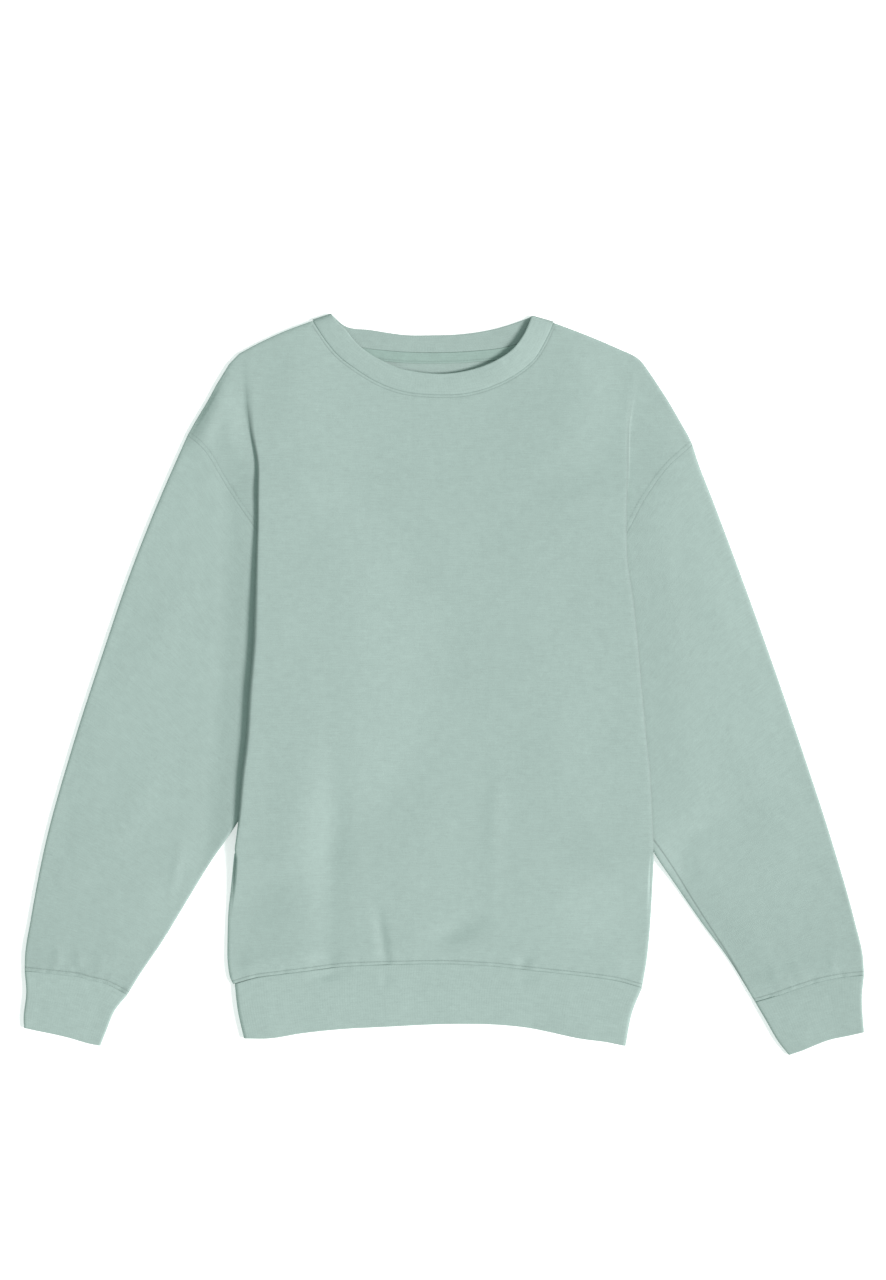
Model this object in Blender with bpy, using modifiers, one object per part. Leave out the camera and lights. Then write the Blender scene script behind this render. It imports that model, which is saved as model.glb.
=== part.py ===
"""Crewneck sweatshirt, laid flat on its back with the sleeves turned down beside the body.

+Z points up from the surface, +Y towards the neck, and -X is the left side as seen from above.
The origin is on the surface, under the middle of the garment.
Every piece is a wall of cloth of even thickness. Lengths are in millimetres until a mesh is made.

At each side of the body the front and the back each take up the spare cloth of the armhole in one
pleat: out to the fold at the body's edge, in under itself to a hidden fold, and out again to the
armhole seam. The sleeve comes out between the two.
"""

import math

import bmesh
import bpy
import numpy as np

METRES = 0.001
PIECES = "crewneck_sweatshirt"

# Walls and the room between them
CLOTH = 1.6
RIB = 2.4
TAPE = 1.0
SEAM_GAP = 0.35
CAP_GAP = 0.7            # along the sleeve at the armhole seam
CUFF_GAP = 0.525         # along the sleeve at the cuff seam
SHOULDER_GAP = 0.7       # between the rims of front and back
THICK_SEAM_GAP = 0.8     # beside a thicker wall on a curve
LAYER = 2.4              # from the middle of one layer to the middle of the next
FLOOR_LAYER = CLOTH / 2  # the middle of the wall that lies on the surface
BODY_LOFT = 2.4          # how far the front stands off the back at the ribs, beyond a layer
CHEST_LOFT = 7.2         # the same over the middle of the body
CHEST_RUN = 110.0        # distance from a rib over which the front comes up
SLEEVE_LOFT = 1.6
HEM_BLOUSE = 1.6         # cloth pushed up just above the ribs
BLOUSE_FROM_SEAM = 15.0
BLOUSE_WIDTH = 11.0
CORNER_LIFT = 1.8        # how much higher the front's edge is at the hem, to meet the band
CORNER_RUN = 75.0        # distance above the hem over which that comes in
CUFF_BLOUSE = 1.0        # the same above a cuff
CUFF_BLOUSE_SHARE = 0.03 # of the sleeve's length
LOFT_RUN = 44.0          # distance beside the body over which the sleeve rises to its loft
EDGE_RUN = 30.0          # the same distance beside the sleeve's own fold, and the share of
EDGE_SHARE = 0.6         # the loft that is left there
SHOULDER_LOFT = 1.1      # the drop shoulder's loft near the shoulder line
SHOULDER_RUN = (215.0, 285.0)
CUFF_LOFT = 1.4          # the sleeve's loft where it meets the cuff
CUFF_RUN = 50.0
SLEEVE_DROP = 36.0       # distance over which a sleeve comes down to the surface beside the body
UPPER_DROP = {"left": 36.0, "right": 160.0}  # the same of its upper layer, and the run over which
DROP_CHANGE = 80.0       # that becomes the lower layer's, towards where the sleeve leaves the body
BAND_LIFT = 0.6          # how much higher the neckband's free edge is than its seam
BAND_FLARE = 3.2         # how much more it stands up on the right side of the neck
FLARE_AT = 0.85          # share of the way round the front
FLARE_WIDTH = 0.14
HEM_ROOM = 1.9           # between the two layers of the hem band, and of a cuff
CUFF_ROOM = 1.0
FOLD_RIM = 3.2           # width over which the panels close on each other at the side seam
FLAT_TURN = 0.3          # where a pleat is turned less than this, its cloth closes there as well
BLOUSE_ENDS = 25.0       # distance beside a fold over which the pushed-up cloth dies away

# Folds of the pleats
FRONT_FOLD = 1.9         # radius of the front's fold at the shoulder and at the hem
BACK_FOLD = 1.1
INNER_FOLD = 1.1
RIDGE = 7.0              # cloth between the hidden fold and the side seam, at the armpit
RIDGE_BELOW = 4.0        # the same, clear of the sleeve
RIDGE_AT_HEM = 0.8
RIDGE_RUN = 8.0
BACK_TUCKED = 2.5        # the back's fold lies this far inside the front's
LEAST_RETURN = 0.5

# Rounding of the edges where front and back meet, as a share of a column or of a sleeve's width
NOSE = 0.018
ROUNDNESS = 2.6
JUNCTION_RISE = 9.0

ARMPIT_Y = 45.0

# The fold at the body's edge, from the shoulder to the hem
BODY_EDGE = (
    # y, left, right
    (330, 193, 192),
    (306, 192, 189),
    (272, 190, 182),
    (245, 186.5, 178),
    (204, 179, 177),
    (160, 179, 175),
    (127, 180, 175.5),
    (80, 181.5, 181.5),
    (40, 183, 186),
    (-8, 187, 190),
    (-50, 189.5, 194),
    (-90, 194, 198),
    (-132, 197.5, 200),
    (-160, 201, 201),
    (-190, 204, 200),
    (-227, 207.5, 198),
    (-260, 208, 195),
    (-279, 206, 192),
    (-290, 201, 190),
)

# How deep the pleat is, and how far the cloth turns over in it (1 is right over)
PLEAT = (
    # y, depth, left turn, right turn
    (330, 0, 0.004, 0.004),
    (312, 0.5, 0.014, 0.008),
    (295, 1, 0.034, 0.018),
    (280, 1.4, 0.068, 0.034),
    (266, 1.8, 0.118, 0.07),
    (252, 2, 0.188, 0.115),
    (238, 2.2, 0.285, 0.18),
    (224, 2.4, 0.4, 0.27),
    (210, 2.5, 0.53, 0.38),
    (197, 2.5, 0.66, 0.51),
    (184, 2.6, 0.82, 0.7),
    (172, 4.5, 1.0, 1.0),
    (160, 20, 1.0, 1.0),
    (148, 36, 1.0, 1.0),
    (130, 52, 1.0, 1.0),
    (100, 68, 1.0, 1.0),
    (45, 86, 1.0, 1.0),
    (-50, 70, 1.0, 1.0),
    (-130, 42, 1.0, 1.0),
    (-150, 20, 1.0, 1.0),
    (-161, 4.5, 1.0, 1.0),
    (-168, 2.6, 0.78, 0.78),
    (-175, 2.5, 0.64, 0.64),
    (-182, 2.4, 0.51, 0.51),
    (-189, 2.2, 0.39, 0.39),
    (-196, 2, 0.28, 0.28),
    (-203, 1.8, 0.18, 0.18),
    (-210, 1.5, 0.1, 0.1),
    (-218, 1.2, 0.04, 0.04),
    (-228, 0.8, 0.012, 0.012),
    (-245, 0.4, 0.005, 0.005),
    (-291, 0, 0.004, 0.004),
)

# How far in from its fold the front is held up by what lies under it
SUPPORT = (
    # y, distance
    (330, 0),
    (262, 2),
    (225, 12),
    (190, 30),
    (160, 50),
    (100, 72),
    (45, 87),
    (-50, 74),
    (-130, 50),
    (-165, 30),
    (-200, 12),
    (-240, 1),
    (-291, 0),
)

# The distance over which the front comes down from there
PLEAT_SAG = (
    # y, distance
    (330, 60),
    (240, 60),
    (170, 70),
    (70, 105),
    (-50, 105),
    (-120, 85),
    (-160, 65),
    (-185, 65),
    (-215, 90),
    (-291, 90),
)

# The share of a fold's cloth that is there before it turns: the pleat starts as a wide, soft slope
SLACK = (
    # y, share
    (330, 1.3),
    (268, 1.1),
    (240, 0.7),
    (212, 0.4),
    (200, 0.35),
    (-291, 0.35),
)

# The radius of the front's fold at the body's edge. On the left side it stands up more.
FRONT_BEND = (
    # y, left, right
    (330, 1.9, 1.9),
    (230, 1.7, 1.7),
    (160, 1.5, 1.2),
    (110, 2.2, 1.0),
    (50, 3.1, 1.0),
    (-50, 3.1, 1.0),
    (-110, 2.4, 1.0),
    (-160, 1.2, 1.0),
    (-200, 1.1, 1.1),
    (-291, 1.1, 1.1),
)

# Outline points: x is measured outwards from the middle, to the cloth's outer face
SHOULDER = {
    "left": ((126, 349), (153, 339), (179, 327), (192, 320), (199, 316), (204, 311), (210, 301),
             (216, 292), (227, 272), (239, 252), (246.3, 239)),
    "right": ((105, 347), (129, 338), (149, 330), (172, 320), (181, 316), (188, 311), (196, 301),
              (202, 292), (215, 272), (226, 253), (234, 239), (238.3, 230)),
}
ARMHOLE = {
    "left": ((246.3, 239), (235, 230), (226, 219), (216, 202), (207, 187), (187, 158),
             (152, 109), (103, 45)),
    "right": ((238.3, 230), (229, 222), (213, 207), (197, 185), (189, 172), (176, 147),
              (151, 107), (105, 45)),
}
SLEEVE_OUTER = {
    "left": ((246.3, 239), (257, 215), (274, 176), (302, 105), (327, 32), (358, -64), (382, -150),
             (397, -227), (402, -258), (402.5, -275)),
    "right": ((238.3, 230), (243, 215), (258, 176), (285, 104), (311, 32), (344, -64), (372, -150),
              (394, -227), (402, -262), (403, -279)),
}
SLEEVE_INNER = {
    "left": ((103, 45), (155, -50), (203, -140), (223, -169), (247, -208), (270, -246), (293, -280),
             (304, -298)),
    "right": ((105, 45), (142, -50), (180, -123), (206, -169), (219, -188), (246, -227), (274, -265),
              (298.5, -305)),
}
CUFF_SEAM = {
    "left": ((402.5, -275), (383, -277), (365, -279), (350, -281), (340, -284), (326, -287), (304, -298)),
    "right": ((403, -279), (376, -282), (358, -286), (336, -293), (319, -299), (298.5, -305)),
}
CUFF_END = {
    "left": ((403, -330), (389, -333), (374, -336), (357, -340), (340, -345), (330, -347)),
    "right": ((403, -334), (390, -337), (368, -342), (355, -347), (343, -352), (331, -356)),
}
CUFF_OUTER = {
    "left": ((402.5, -275), (401, -294), (403.5, -323), (403, -330)),
    "right": ((403, -279), (401, -299), (402, -323), (403, -334)),
}
CUFF_INNER = {
    "left": ((304, -298), (316, -313), (324, -332), (330, -347)),
    "right": ((298.5, -305), (309, -323), (320, -342), (331, -356)),
}

# Curves across the body, from left to right
NECK_SEAM_FRONT = ((-126, 349), (-121, 341), (-113, 329), (-103, 317), (-84, 302), (-62, 289), (-43, 282),
                   (-10, 278), (19, 279), (48, 287), (69, 298), (86, 312), (97, 330), (105, 347))
NECK_EDGE_FRONT = ((-108, 355), (-103, 348), (-95, 341), (-88, 332), (-79, 323), (-58, 310), (-41, 303),
                   (-26, 300), (-3, 298), (26, 302), (48, 310), (67, 323), (77, 337), (84, 353))
NECK_SEAM_BACK = ((-126, 349), (-110, 336), (-85, 325), (-50, 320), (-10, 318.5), (28, 320), (60, 324),
                  (88, 334), (105, 347))
NECK_EDGE_BACK = ((-108, 355), (-95, 344), (-70, 340), (-33, 335), (-11, 335), (16, 336), (52, 342),
                  (71, 348), (84, 353))
HEM_SEAM = ((-201, -287), (-179, -281), (-156, -278), (-136, -275.5), (-88, -270), (-57, -269), (-5, -268),
            (43, -270), (80, -274), (127, -279), (164, -284), (190, -291))
HEM_END = ((-192, -340), (-170, -340), (-137, -335), (-99, -331), (-61, -329), (16, -326), (55, -327),
           (83, -330), (103, -334), (131, -340), (160, -344), (174, -347))
HEM_LEFT = ((-201, -287), (-198, -313), (-192, -340))
HEM_RIGHT = ((190, -291), (181, -313), (174, -347))

# The largest soft folds of the front: a ridge where the height is above 0, a trough below it
FRONT_FOLDS = (
    # x, y, half length, half width, degrees from +X, height
    (-105, -145, 165, 17, 88, -2.0),
    (-62, -232, 38, 6, 84, -1.6),
    (-112, -262, 20, 9, 0, -1.2),
    (10, -238, 38, 10, 26, -1.8),
    (48, -140, 90, 9, 88, 0.8),
)

NECK_END_GAP = 0.06      # share of the neckband's width left free at each shoulder
TAPE_FROM_SEAM = 0.6
TAPE_WIDTH = 10.5
TAPE_ENDS = 0.06         # share of the back neck seam left free at each end

# Mesh density: shares of a column down to the armpit, and from there to the hem
EDGE_ROWS = (0, 0.02 * NOSE, 0.3 * NOSE, NOSE)
ROWS_ABOVE = (EDGE_ROWS + (0.07, 0.15, 0.22, 0.29, 0.37, 0.48, 0.62, 0.76, 0.9)
              + tuple(1 - share for share in reversed(EDGE_ROWS)))
ROWS_BELOW = (0.03, 0.2, 0.4, 0.58, 0.69, 0.765, 0.81, 0.86, 0.93, 1)
OUTER_STEPS = 4
RETURN_STEPS = 2
INNER_STEPS = 3
FLAP_SHARES = (0.16, 0.38, 0.6, 0.8, 0.93, 0.985, 1)
SHOULDER_STEPS = 3       # columns of the body outside the neck, each side
NECK_STEPS = 20
SLEEVE_ROWS = (0, 0.07, 0.16, 0.26, 0.37, 0.48, 0.6, 0.72, 0.83, 0.91, 0.96, 1)
HEM_NOSE = 0.009
HEM_EDGE_SHARES = (0, 0.02, 0.3, 1.0)  # columns of the hem band within its rounded edge
SLEEVE_START = 0.03      # share of the sleeve's outer edge that shows which way it runs
BAND_ROWS = (0, 0.5, 1)
TAPE_STEPS = 16
HEM_START_Y = -200.0     # where the search for a column's lower end starts

# Finish: sage green fleece and its rib
CLOTH_COLOUR = (0.410, 0.540, 0.490, 1)
RIB_COLOUR = (0.405, 0.535, 0.485, 1)
CLOTH_ROUGHNESS = 0.95


# ---- curves and shapes ----

def smooth_column(rows, key, value):
    """A smooth, unwavering curve through one column of a table, read by another column."""
    pairs = sorted((row[key], row[value]) for row in rows)
    x = np.array([p[0] for p in pairs], float)
    y = np.array([p[1] for p in pairs], float)
    step = np.diff(x)
    rise = np.diff(y) / step
    slope = np.concatenate(([rise[0]], np.zeros(len(x) - 2), [rise[-1]]))
    for i in range(1, len(x) - 1):
        if rise[i - 1] * rise[i] > 0:
            slope[i] = 2 * rise[i - 1] * rise[i] / (rise[i - 1] + rise[i])

    def at(q):
        q = min(max(q, x[0]), x[-1])
        i = min(max(int(np.searchsorted(x, q)) - 1, 0), len(step) - 1)
        t = (q - x[i]) / step[i]
        return (y[i] * (1 + 2 * t) * (1 - t) ** 2 + y[i + 1] * t * t * (3 - 2 * t)
                + step[i] * (slope[i] * t * (1 - t) ** 2 - slope[i + 1] * t * t * (1 - t)))

    return at


def smooth_path(points):
    """A smooth path through points, read by the share of its length."""
    p = np.array(points, float)
    t = np.concatenate(([0], np.cumsum(np.linalg.norm(np.diff(p, axis=0), axis=1))))
    t /= t[-1]
    tangent = np.gradient(p, t, axis=0)

    def at(share):
        s = min(max(share, 0.0), 1.0)
        i = min(max(int(np.searchsorted(t, s)) - 1, 0), len(t) - 2)
        h = t[i + 1] - t[i]
        k = (s - t[i]) / h
        return (p[i] * (1 + 2 * k) * (1 - k) ** 2 + p[i + 1] * k * k * (3 - 2 * k)
                + h * (tangent[i] * k * (1 - k) ** 2 - tangent[i + 1] * k * k * (1 - k)))

    return at


def moved_left(points, distance):
    """The points moved to the left of the way they run."""
    p = np.array(points, float)
    along = np.gradient(p, axis=0)
    along /= np.linalg.norm(along, axis=1)[:, None]
    return p + distance * np.column_stack((-along[:, 1], along[:, 0]))


def patch(top, bottom, start, end):
    """A surface stretched between four edges, read by the share across and the share down."""
    corner = top(0), top(1), bottom(0), bottom(1)

    def at(across, down):
        along_edges = (1 - down) * top(across) + down * bottom(across)
        along_edges = along_edges + (1 - across) * start(down) + across * end(down)
        corners = (1 - across) * (1 - down) * corner[0] + across * (1 - down) * corner[1]
        corners = corners + (1 - across) * down * corner[2] + across * down * corner[3]
        return along_edges - corners

    return at


def ease(t):
    """0 to 1 with level ends."""
    t = min(max(t, 0.0), 1.0)
    return t * t * (3 - 2 * t)


def round_nose(t):
    """The height of a full, rounded edge at the share t of its width."""
    return (1 - (1 - min(max(t, 0.0), 1.0)) ** ROUNDNESS) ** (1 / ROUNDNESS)


# ---- the sides of the body ----

class Side:
    """One side of the garment. Its distances run outwards from the middle."""

    def __init__(self, name):
        self.name = name
        self.sign = -1 if name == "left" else 1
        wall = CLOTH / 2
        self.shoulder = moved_left(SHOULDER[name], -wall)
        self.sleeve_outer = smooth_path(moved_left(SLEEVE_OUTER[name], -wall))
        self.sleeve_inner = smooth_path(moved_left(SLEEVE_INNER[name], wall))
        self.edge = smooth_column(BODY_EDGE, 0, 1 if name == "left" else 2)
        self.depth = smooth_column(PLEAT, 0, 1)
        self.turn = smooth_column(PLEAT, 0, 2 if name == "left" else 3)
        self.support = smooth_column(SUPPORT, 0, 1)
        self.sag = smooth_column(PLEAT_SAG, 0, 1)
        self.slack = smooth_column(SLACK, 0, 1)
        self.bend = smooth_column(FRONT_BEND, 0, 1 if name == "left" else 2)
        self.armhole = smooth_column(ARMHOLE[name], 1, 0)
        self.tip_y = self.shoulder[-1][1]
        first, second = ARMHOLE[name][:2]
        self.cap_slope = (first[0] - second[0]) / (first[1] - second[1])
        outer = list(self.shoulder[3:]) + [self.sleeve_outer(s) for s in np.linspace(0.05, 1, 14)]
        self.outline = smooth_column(outer, 1, 0)
        inner = [self.sleeve_inner(s) for s in np.linspace(0, 1, 12)]
        self.inner_edge = smooth_column(inner, 1, 0)
        self.cuff_y = smooth_column(CUFF_SEAM[name], 0, 1)
        self.hem_corner = HEM_SEAM[0 if name == "left" else -1][1]
        self.leaves_body = next(y for y in range(0, -300, -1) if self.inner_edge(y) > self.edge(y))

    def fold(self, y, radius, tucked=0.0):
        """The section of the pleat at y: where it starts, and how far out and down each stretch runs."""
        turn = self.turn(y)
        angle = math.pi * turn
        back = max(self.depth(y) - radius - INNER_FOLD, LEAST_RETURN)
        slack = self.slack(y)
        cloth = slack + (1 - slack) * turn
        first = radius * cloth / turn
        last = INNER_FOLD * cloth / turn
        outer = (first * math.sin(angle), first * (1 - math.cos(angle)))
        middle = (outer[0] + back * math.cos(angle), outer[1] + back * math.sin(angle))
        inner = (middle[0] + last * math.sin(angle), middle[1] + last * (1 - math.cos(angle)))
        reach = first * math.sin(min(angle, math.pi / 2))
        reach = max(reach, middle[0])
        if y < ARMPIT_Y:
            reach = max(reach, inner[0] + self.ridge(y))
        start = self.edge(y) - CLOTH / 2 - tucked * turn - reach
        return {"turn": turn, "angle": angle, "first": first, "last": last, "outer": outer,
                "middle": middle, "inner": inner, "start": start, "drop": inner[1]}

    def ridge(self, y):
        clear = RIDGE - (RIDGE - RIDGE_BELOW) * ease((ARMPIT_Y - y) / RIDGE_RUN)
        return RIDGE_AT_HEM + (clear - RIDGE_AT_HEM) * self.turn(y) ** 2

    def flap_end(self, y):
        """Where the panel ends: the armhole seam, and below the armpit the side seam."""
        if y > self.tip_y:
            return self.armhole(self.tip_y) + (y - self.tip_y) * self.cap_slope
        if y >= ARMPIT_Y:
            closing = 1 - round_nose((y - ARMPIT_Y) / (self.tip_y - ARMPIT_Y) / NOSE)
            return self.armhole(y) - closing * (CLOTH / 2 + SEAM_GAP)
        section = self.fold(y, self.bend(y))
        return section["start"] + section["inner"][0] + self.ridge(y)

    def rise(self, x, y, run=SLEEVE_DROP):
        """How far a sleeve is lifted by the back's pleat at a point, coming down over the given run."""
        back = self.fold(y, BACK_FOLD, BACK_TUCKED)
        under = max(back["start"] + back["first"] * math.sin(min(back["angle"], math.pi / 2)),
                    back["start"] + back["inner"][0])
        return back["drop"] * (1 - ease((x - under - CLOTH) / run))

    def loft(self, x, y):
        """How far the upper layer stands off the lower one outside the body."""
        inside = self.edge(y) if y > self.leaves_body else self.inner_edge(y)
        from_edge = EDGE_SHARE + (1 - EDGE_SHARE) * ease((self.outline(y) - x) / EDGE_RUN)
        from_cuff = ease((y - self.cuff_y(x)) / CUFF_RUN)
        sleeve = (CUFF_LOFT + (SLEEVE_LOFT - CUFF_LOFT) * from_cuff) * ease((x - inside) / LOFT_RUN)
        shoulder = ease((y - SHOULDER_RUN[0]) / (SHOULDER_RUN[1] - SHOULDER_RUN[0]))
        return from_edge * (sleeve * (1 - shoulder) + SHOULDER_LOFT * shoulder)

    def low(self, x, y):
        return FLOOR_LAYER + self.rise(x, y)

    def high(self, x, y):
        beside_body = ease((y - self.leaves_body) / DROP_CHANGE)
        run = SLEEVE_DROP + (UPPER_DROP[self.name] - SLEEVE_DROP) * beside_body
        return FLOOR_LAYER + self.rise(x, y, run) + LAYER + self.loft(x, y) + self.corner_lift(x, y)

    def corner_lift(self, x, y):
        """How much higher the front's edge is at the hem, to meet the band."""
        if x > self.edge(y):
            return 0.0
        return CORNER_LIFT * (1 - ease((y - self.hem_corner) / CORNER_RUN))

    def cap(self, share):
        """A point of the armhole seam, from the shoulder tip to the armpit."""
        y = self.tip_y + (ARMPIT_Y - self.tip_y) * share
        return np.array((self.armhole(y), y))


LEFT = Side("left")
RIGHT = Side("right")
SIDES = (LEFT, RIGHT)


# ---- the panels ----

class Panel:
    """The front (layer 1) or the back (layer -1), from one armhole seam across to the other."""

    def __init__(self, layer, neck_seam):
        self.layer = layer
        self.neck = smooth_path(neck_seam)
        self.neck_line = np.array([self.neck(s) for s in np.linspace(0, 1, 81)])
        self.neck_y = smooth_column(self.neck_line, 0, 1)
        self.neck_ends = (neck_seam[0][0], neck_seam[-1][0])
        self.hem_y = smooth_column(HEM_SEAM, 0, 1)
        self.shoulder_y = {s.name: smooth_column(s.shoulder, 0, 1) for s in SIDES}

    def section(self, side, y):
        if self.layer < 0:
            return side.fold(y, BACK_FOLD, BACK_TUCKED)
        return side.fold(y, side.bend(y))

    def columns(self):
        """Every column from the left end to the right end: side, stretch and share of it."""
        side_columns = [("outer", k / OUTER_STEPS) for k in range(OUTER_STEPS)]
        side_columns += [("middle", k / RETURN_STEPS) for k in range(RETURN_STEPS)]
        side_columns += [("inner", k / INNER_STEPS) for k in range(INNER_STEPS)]
        side_columns += [("flap", share) for share in (0,) + FLAP_SHARES]
        left = [(LEFT, stretch, share) for stretch, share in reversed(side_columns)]
        right = [(RIGHT, stretch, share) for stretch, share in side_columns]
        return left + [(None, "top", share) for share in self.top_shares()] + right

    def top_shares(self):
        """Shares across the body, with a column at each end of the neck seam."""
        starts = [self.section(side, self.neck(k)[1])["start"] for k, side in enumerate(SIDES)]
        ends = [(x + starts[0]) / sum(starts) for x in self.neck_ends]
        left = np.linspace(0, ends[0], SHOULDER_STEPS + 1)[1:-1]
        neck = np.linspace(ends[0], ends[1], NECK_STEPS + 1)
        right = np.linspace(ends[1], 1, SHOULDER_STEPS + 1)[1:-1]
        return list(left) + list(neck) + list(right)

    def body_point(self, share, y):
        """A point of the layer between the two folds."""
        ends = [self.section(side, y) for side in SIDES]
        x = (1 - share) * -ends[0]["start"] + share * ends[1]["start"]
        return x, self.body_height(x, y, ends)

    def body_height(self, x, y, ends=None):
        if self.layer < 0:
            return FLOOR_LAYER
        ends = ends or [self.section(side, y) for side in SIDES]
        height = 0.0
        clear = 1.0
        pushed = self.blouse(x, y)
        for side, end in zip(SIDES, ends):
            inwards = end["start"] - side.sign * x
            pushed *= ease(inwards / BLOUSE_ENDS)
            near = 1 - ease((inwards - side.support(y)) / side.sag(y))
            height += near * (side.high(end["start"] + end["inner"][0], y) + end["drop"])
            clear -= near
        height += clear * (FLOOR_LAYER + LAYER + self.body_loft(x, y))
        return height + pushed + self.folds(x, y)

    def body_loft(self, x, y):
        from_neck = np.hypot(*(self.neck_line - (x, y)).T).min()
        from_rib = min(from_neck, self.neck_line[-1][1] - y, y - self.hem_y(x))
        return BODY_LOFT + (CHEST_LOFT - BODY_LOFT) * ease(from_rib / CHEST_RUN)

    def blouse(self, x, y):
        above = y - self.hem_y(x) - BLOUSE_FROM_SEAM
        return HEM_BLOUSE * math.exp(-(above / BLOUSE_WIDTH) ** 2)

    @staticmethod
    def folds(x, y):
        height = 0.0
        for fx, fy, half_length, half_width, degrees, size in FRONT_FOLDS:
            c = math.cos(math.radians(degrees))
            s = math.sin(math.radians(degrees))
            along = ((x - fx) * c + (y - fy) * s) / half_length
            across = ((y - fy) * c - (x - fx) * s) / half_width
            height += size * math.exp(-across ** 2) * (1 - ease(abs(along)))
        return height

    def point(self, column, y):
        """x and height of a column at y, before the edges are rounded."""
        side, stretch, share = column
        if stretch == "top":
            return self.body_point(share, y)
        section = self.section(side, y)
        angle = section["angle"]
        flap = section["start"] + section["inner"][0]
        if stretch == "flap":
            x = flap + share * (side.flap_end(y) - flap)
            return side.sign * x, self.level(side, x, y)
        if stretch == "outer":
            out = section["first"] * math.sin(angle * share)
            down = section["first"] * (1 - math.cos(angle * share))
        elif stretch == "middle":
            out, down = (np.array(section["outer"]) * (1 - share) + np.array(section["middle"]) * share)
        else:
            left = angle * (1 - share)
            out = section["middle"][0] + section["last"] * (math.sin(angle) - math.sin(left))
            down = section["middle"][1] + section["last"] * (math.cos(left) - math.cos(angle))
        height = self.level(side, flap, y) + self.layer * (section["drop"] - down)
        x = side.sign * (section["start"] + out)
        if self.layer > 0:
            fade = 1 - down / max(section["drop"], 1e-6)
            beside = self.body_height(side.sign * section["start"], y)
            height += fade * (beside - self.level(side, flap, y) - section["drop"])
        return x, height

    def level(self, side, x, y):
        return side.high(x, y) if self.layer > 0 else side.low(x, y)

    def top_y(self, column):
        """Where a column meets the neck seam or the shoulder."""
        low, high = ARMPIT_Y, 360.0
        for _ in range(40):
            y = (low + high) / 2
            if y > self.boundary(self.point(column, y)[0]):
                high = y
            else:
                low = y
        return low

    def boundary(self, x):
        if self.neck_ends[0] < x < self.neck_ends[1]:
            return self.neck_y(x)
        return self.shoulder_y["left" if x < 0 else "right"](abs(x))

    def grid(self, x_steps, y_steps):
        columns = self.columns()
        tops = [self.top_y(c) for c in columns]
        points = {}
        for i, column in enumerate(columns):
            for j in range(y_steps + 1):
                points[i, j] = self.place(column, tops[i], j)
        return points

    def place(self, column, top, row):
        above = row < len(ROWS_ABOVE)
        share = ROWS_ABOVE[row] if above else ROWS_BELOW[row - len(ROWS_ABOVE)]
        y = top + (ARMPIT_Y - top) * share
        if not above:
            x = self.point(column, HEM_START_Y)[0]
            for _ in range(3):
                hem = self.hem_y(x) + SEAM_GAP
                y = ARMPIT_Y + (hem - ARMPIT_Y) * share
                x = self.point(column, y)[0]
        x, z = self.point(column, y)
        z = self.rounded(column, x, y, z, share if above else 1.0, above)
        return x, y, z

    def rounded(self, column, x, y, z, share, above):
        """Brings the wall down to meet the other panel along the shoulders and the side seams."""
        side, stretch, along = column
        half_gap = self.layer * SHOULDER_GAP / 2
        if above:
            full = round_nose(share / NOSE)
            if self.neck_ends[0] < x < self.neck_ends[1]:
                full = max(full, neck_rise(x))
            middle = shoulder_middle(x, y) + half_gap
            z = middle + (z - middle) * full
        if stretch != "top":
            end = side.flap_end(y)
            closed = 1.0 if not above else 1 - round_nose((1 - share) / NOSE)
            flat = 1.0 if stretch == "flap" else 1 - ease(side.turn(y) / FLAT_TURN)
            open_edge = closed * flat * (1 - round_nose((end - abs(x)) / FOLD_RIM))
            middle = (side.high(end, y) + side.low(end, y)) / 2 + half_gap * closed
            z = middle + (z - middle) * (1 - open_edge)
        return z

    def outer_height(self, x, y):
        """The height of the panel's outermost stretch over a point near the shoulder."""
        side = LEFT if x < 0 else RIGHT
        if abs(x) < self.section(side, y)["start"]:
            return self.body_height(x, y)
        return self.level(side, abs(x), y)

    def neck_points(self):
        """Where the columns meet the neck seam, from left to right."""
        tops = [("top", share) for share in self.top_shares()[SHOULDER_STEPS - 1:][:NECK_STEPS + 1]]
        points = []
        for stretch, share in tops:
            column = (None, stretch, share)
            y = self.top_y(column)
            points.append((self.point(column, y)[0], y))
        points[0], points[-1] = tuple(self.neck(0)), tuple(self.neck(1))
        return points


def neck_rise(x):
    """How far the layers have parted at x along the neck seam, from 0 at its ends to 1."""
    from_end = min(x - NECK_SEAM_FRONT[0][0], NECK_SEAM_FRONT[-1][0] - x)
    return round_nose(from_end / JUNCTION_RISE)


def shoulder_middle(x, y):
    """Half way between the front and the back along the shoulders."""
    return (FRONT.outer_height(x, y) + BACK.outer_height(x, y)) / 2


FRONT = Panel(1, NECK_SEAM_FRONT)
BACK = Panel(-1, NECK_SEAM_BACK)


# ---- tubes: sleeves, cuffs, hem band and neckband ----

def tube_grid(shares, rows, upper, lower, heights, rise):
    """Points of a flattened tube, round from its front half to its back half.

    upper and lower give x and y, heights gives both levels there, and rise gives how far the two
    layers have parted at a share across."""
    count = len(shares) - 1
    points = {}
    for j, down in enumerate(rows):
        for i in range(2 * count + 1):
            on_top = i <= count
            across = shares[i if on_top else 2 * count - i]
            x, y = (upper if on_top else lower)(across, down)
            high, low = heights(x, y, across, down)
            middle = (high + low) / 2
            points[i, j] = (x, y, middle + ((high if on_top else low) - middle) * rise(across))
    return points


def even_rise(nose):
    """Both edges of a tube rounded over the same share of its width."""
    return lambda across: round_nose(across / nose) * round_nose((1 - across) / nose)


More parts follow.
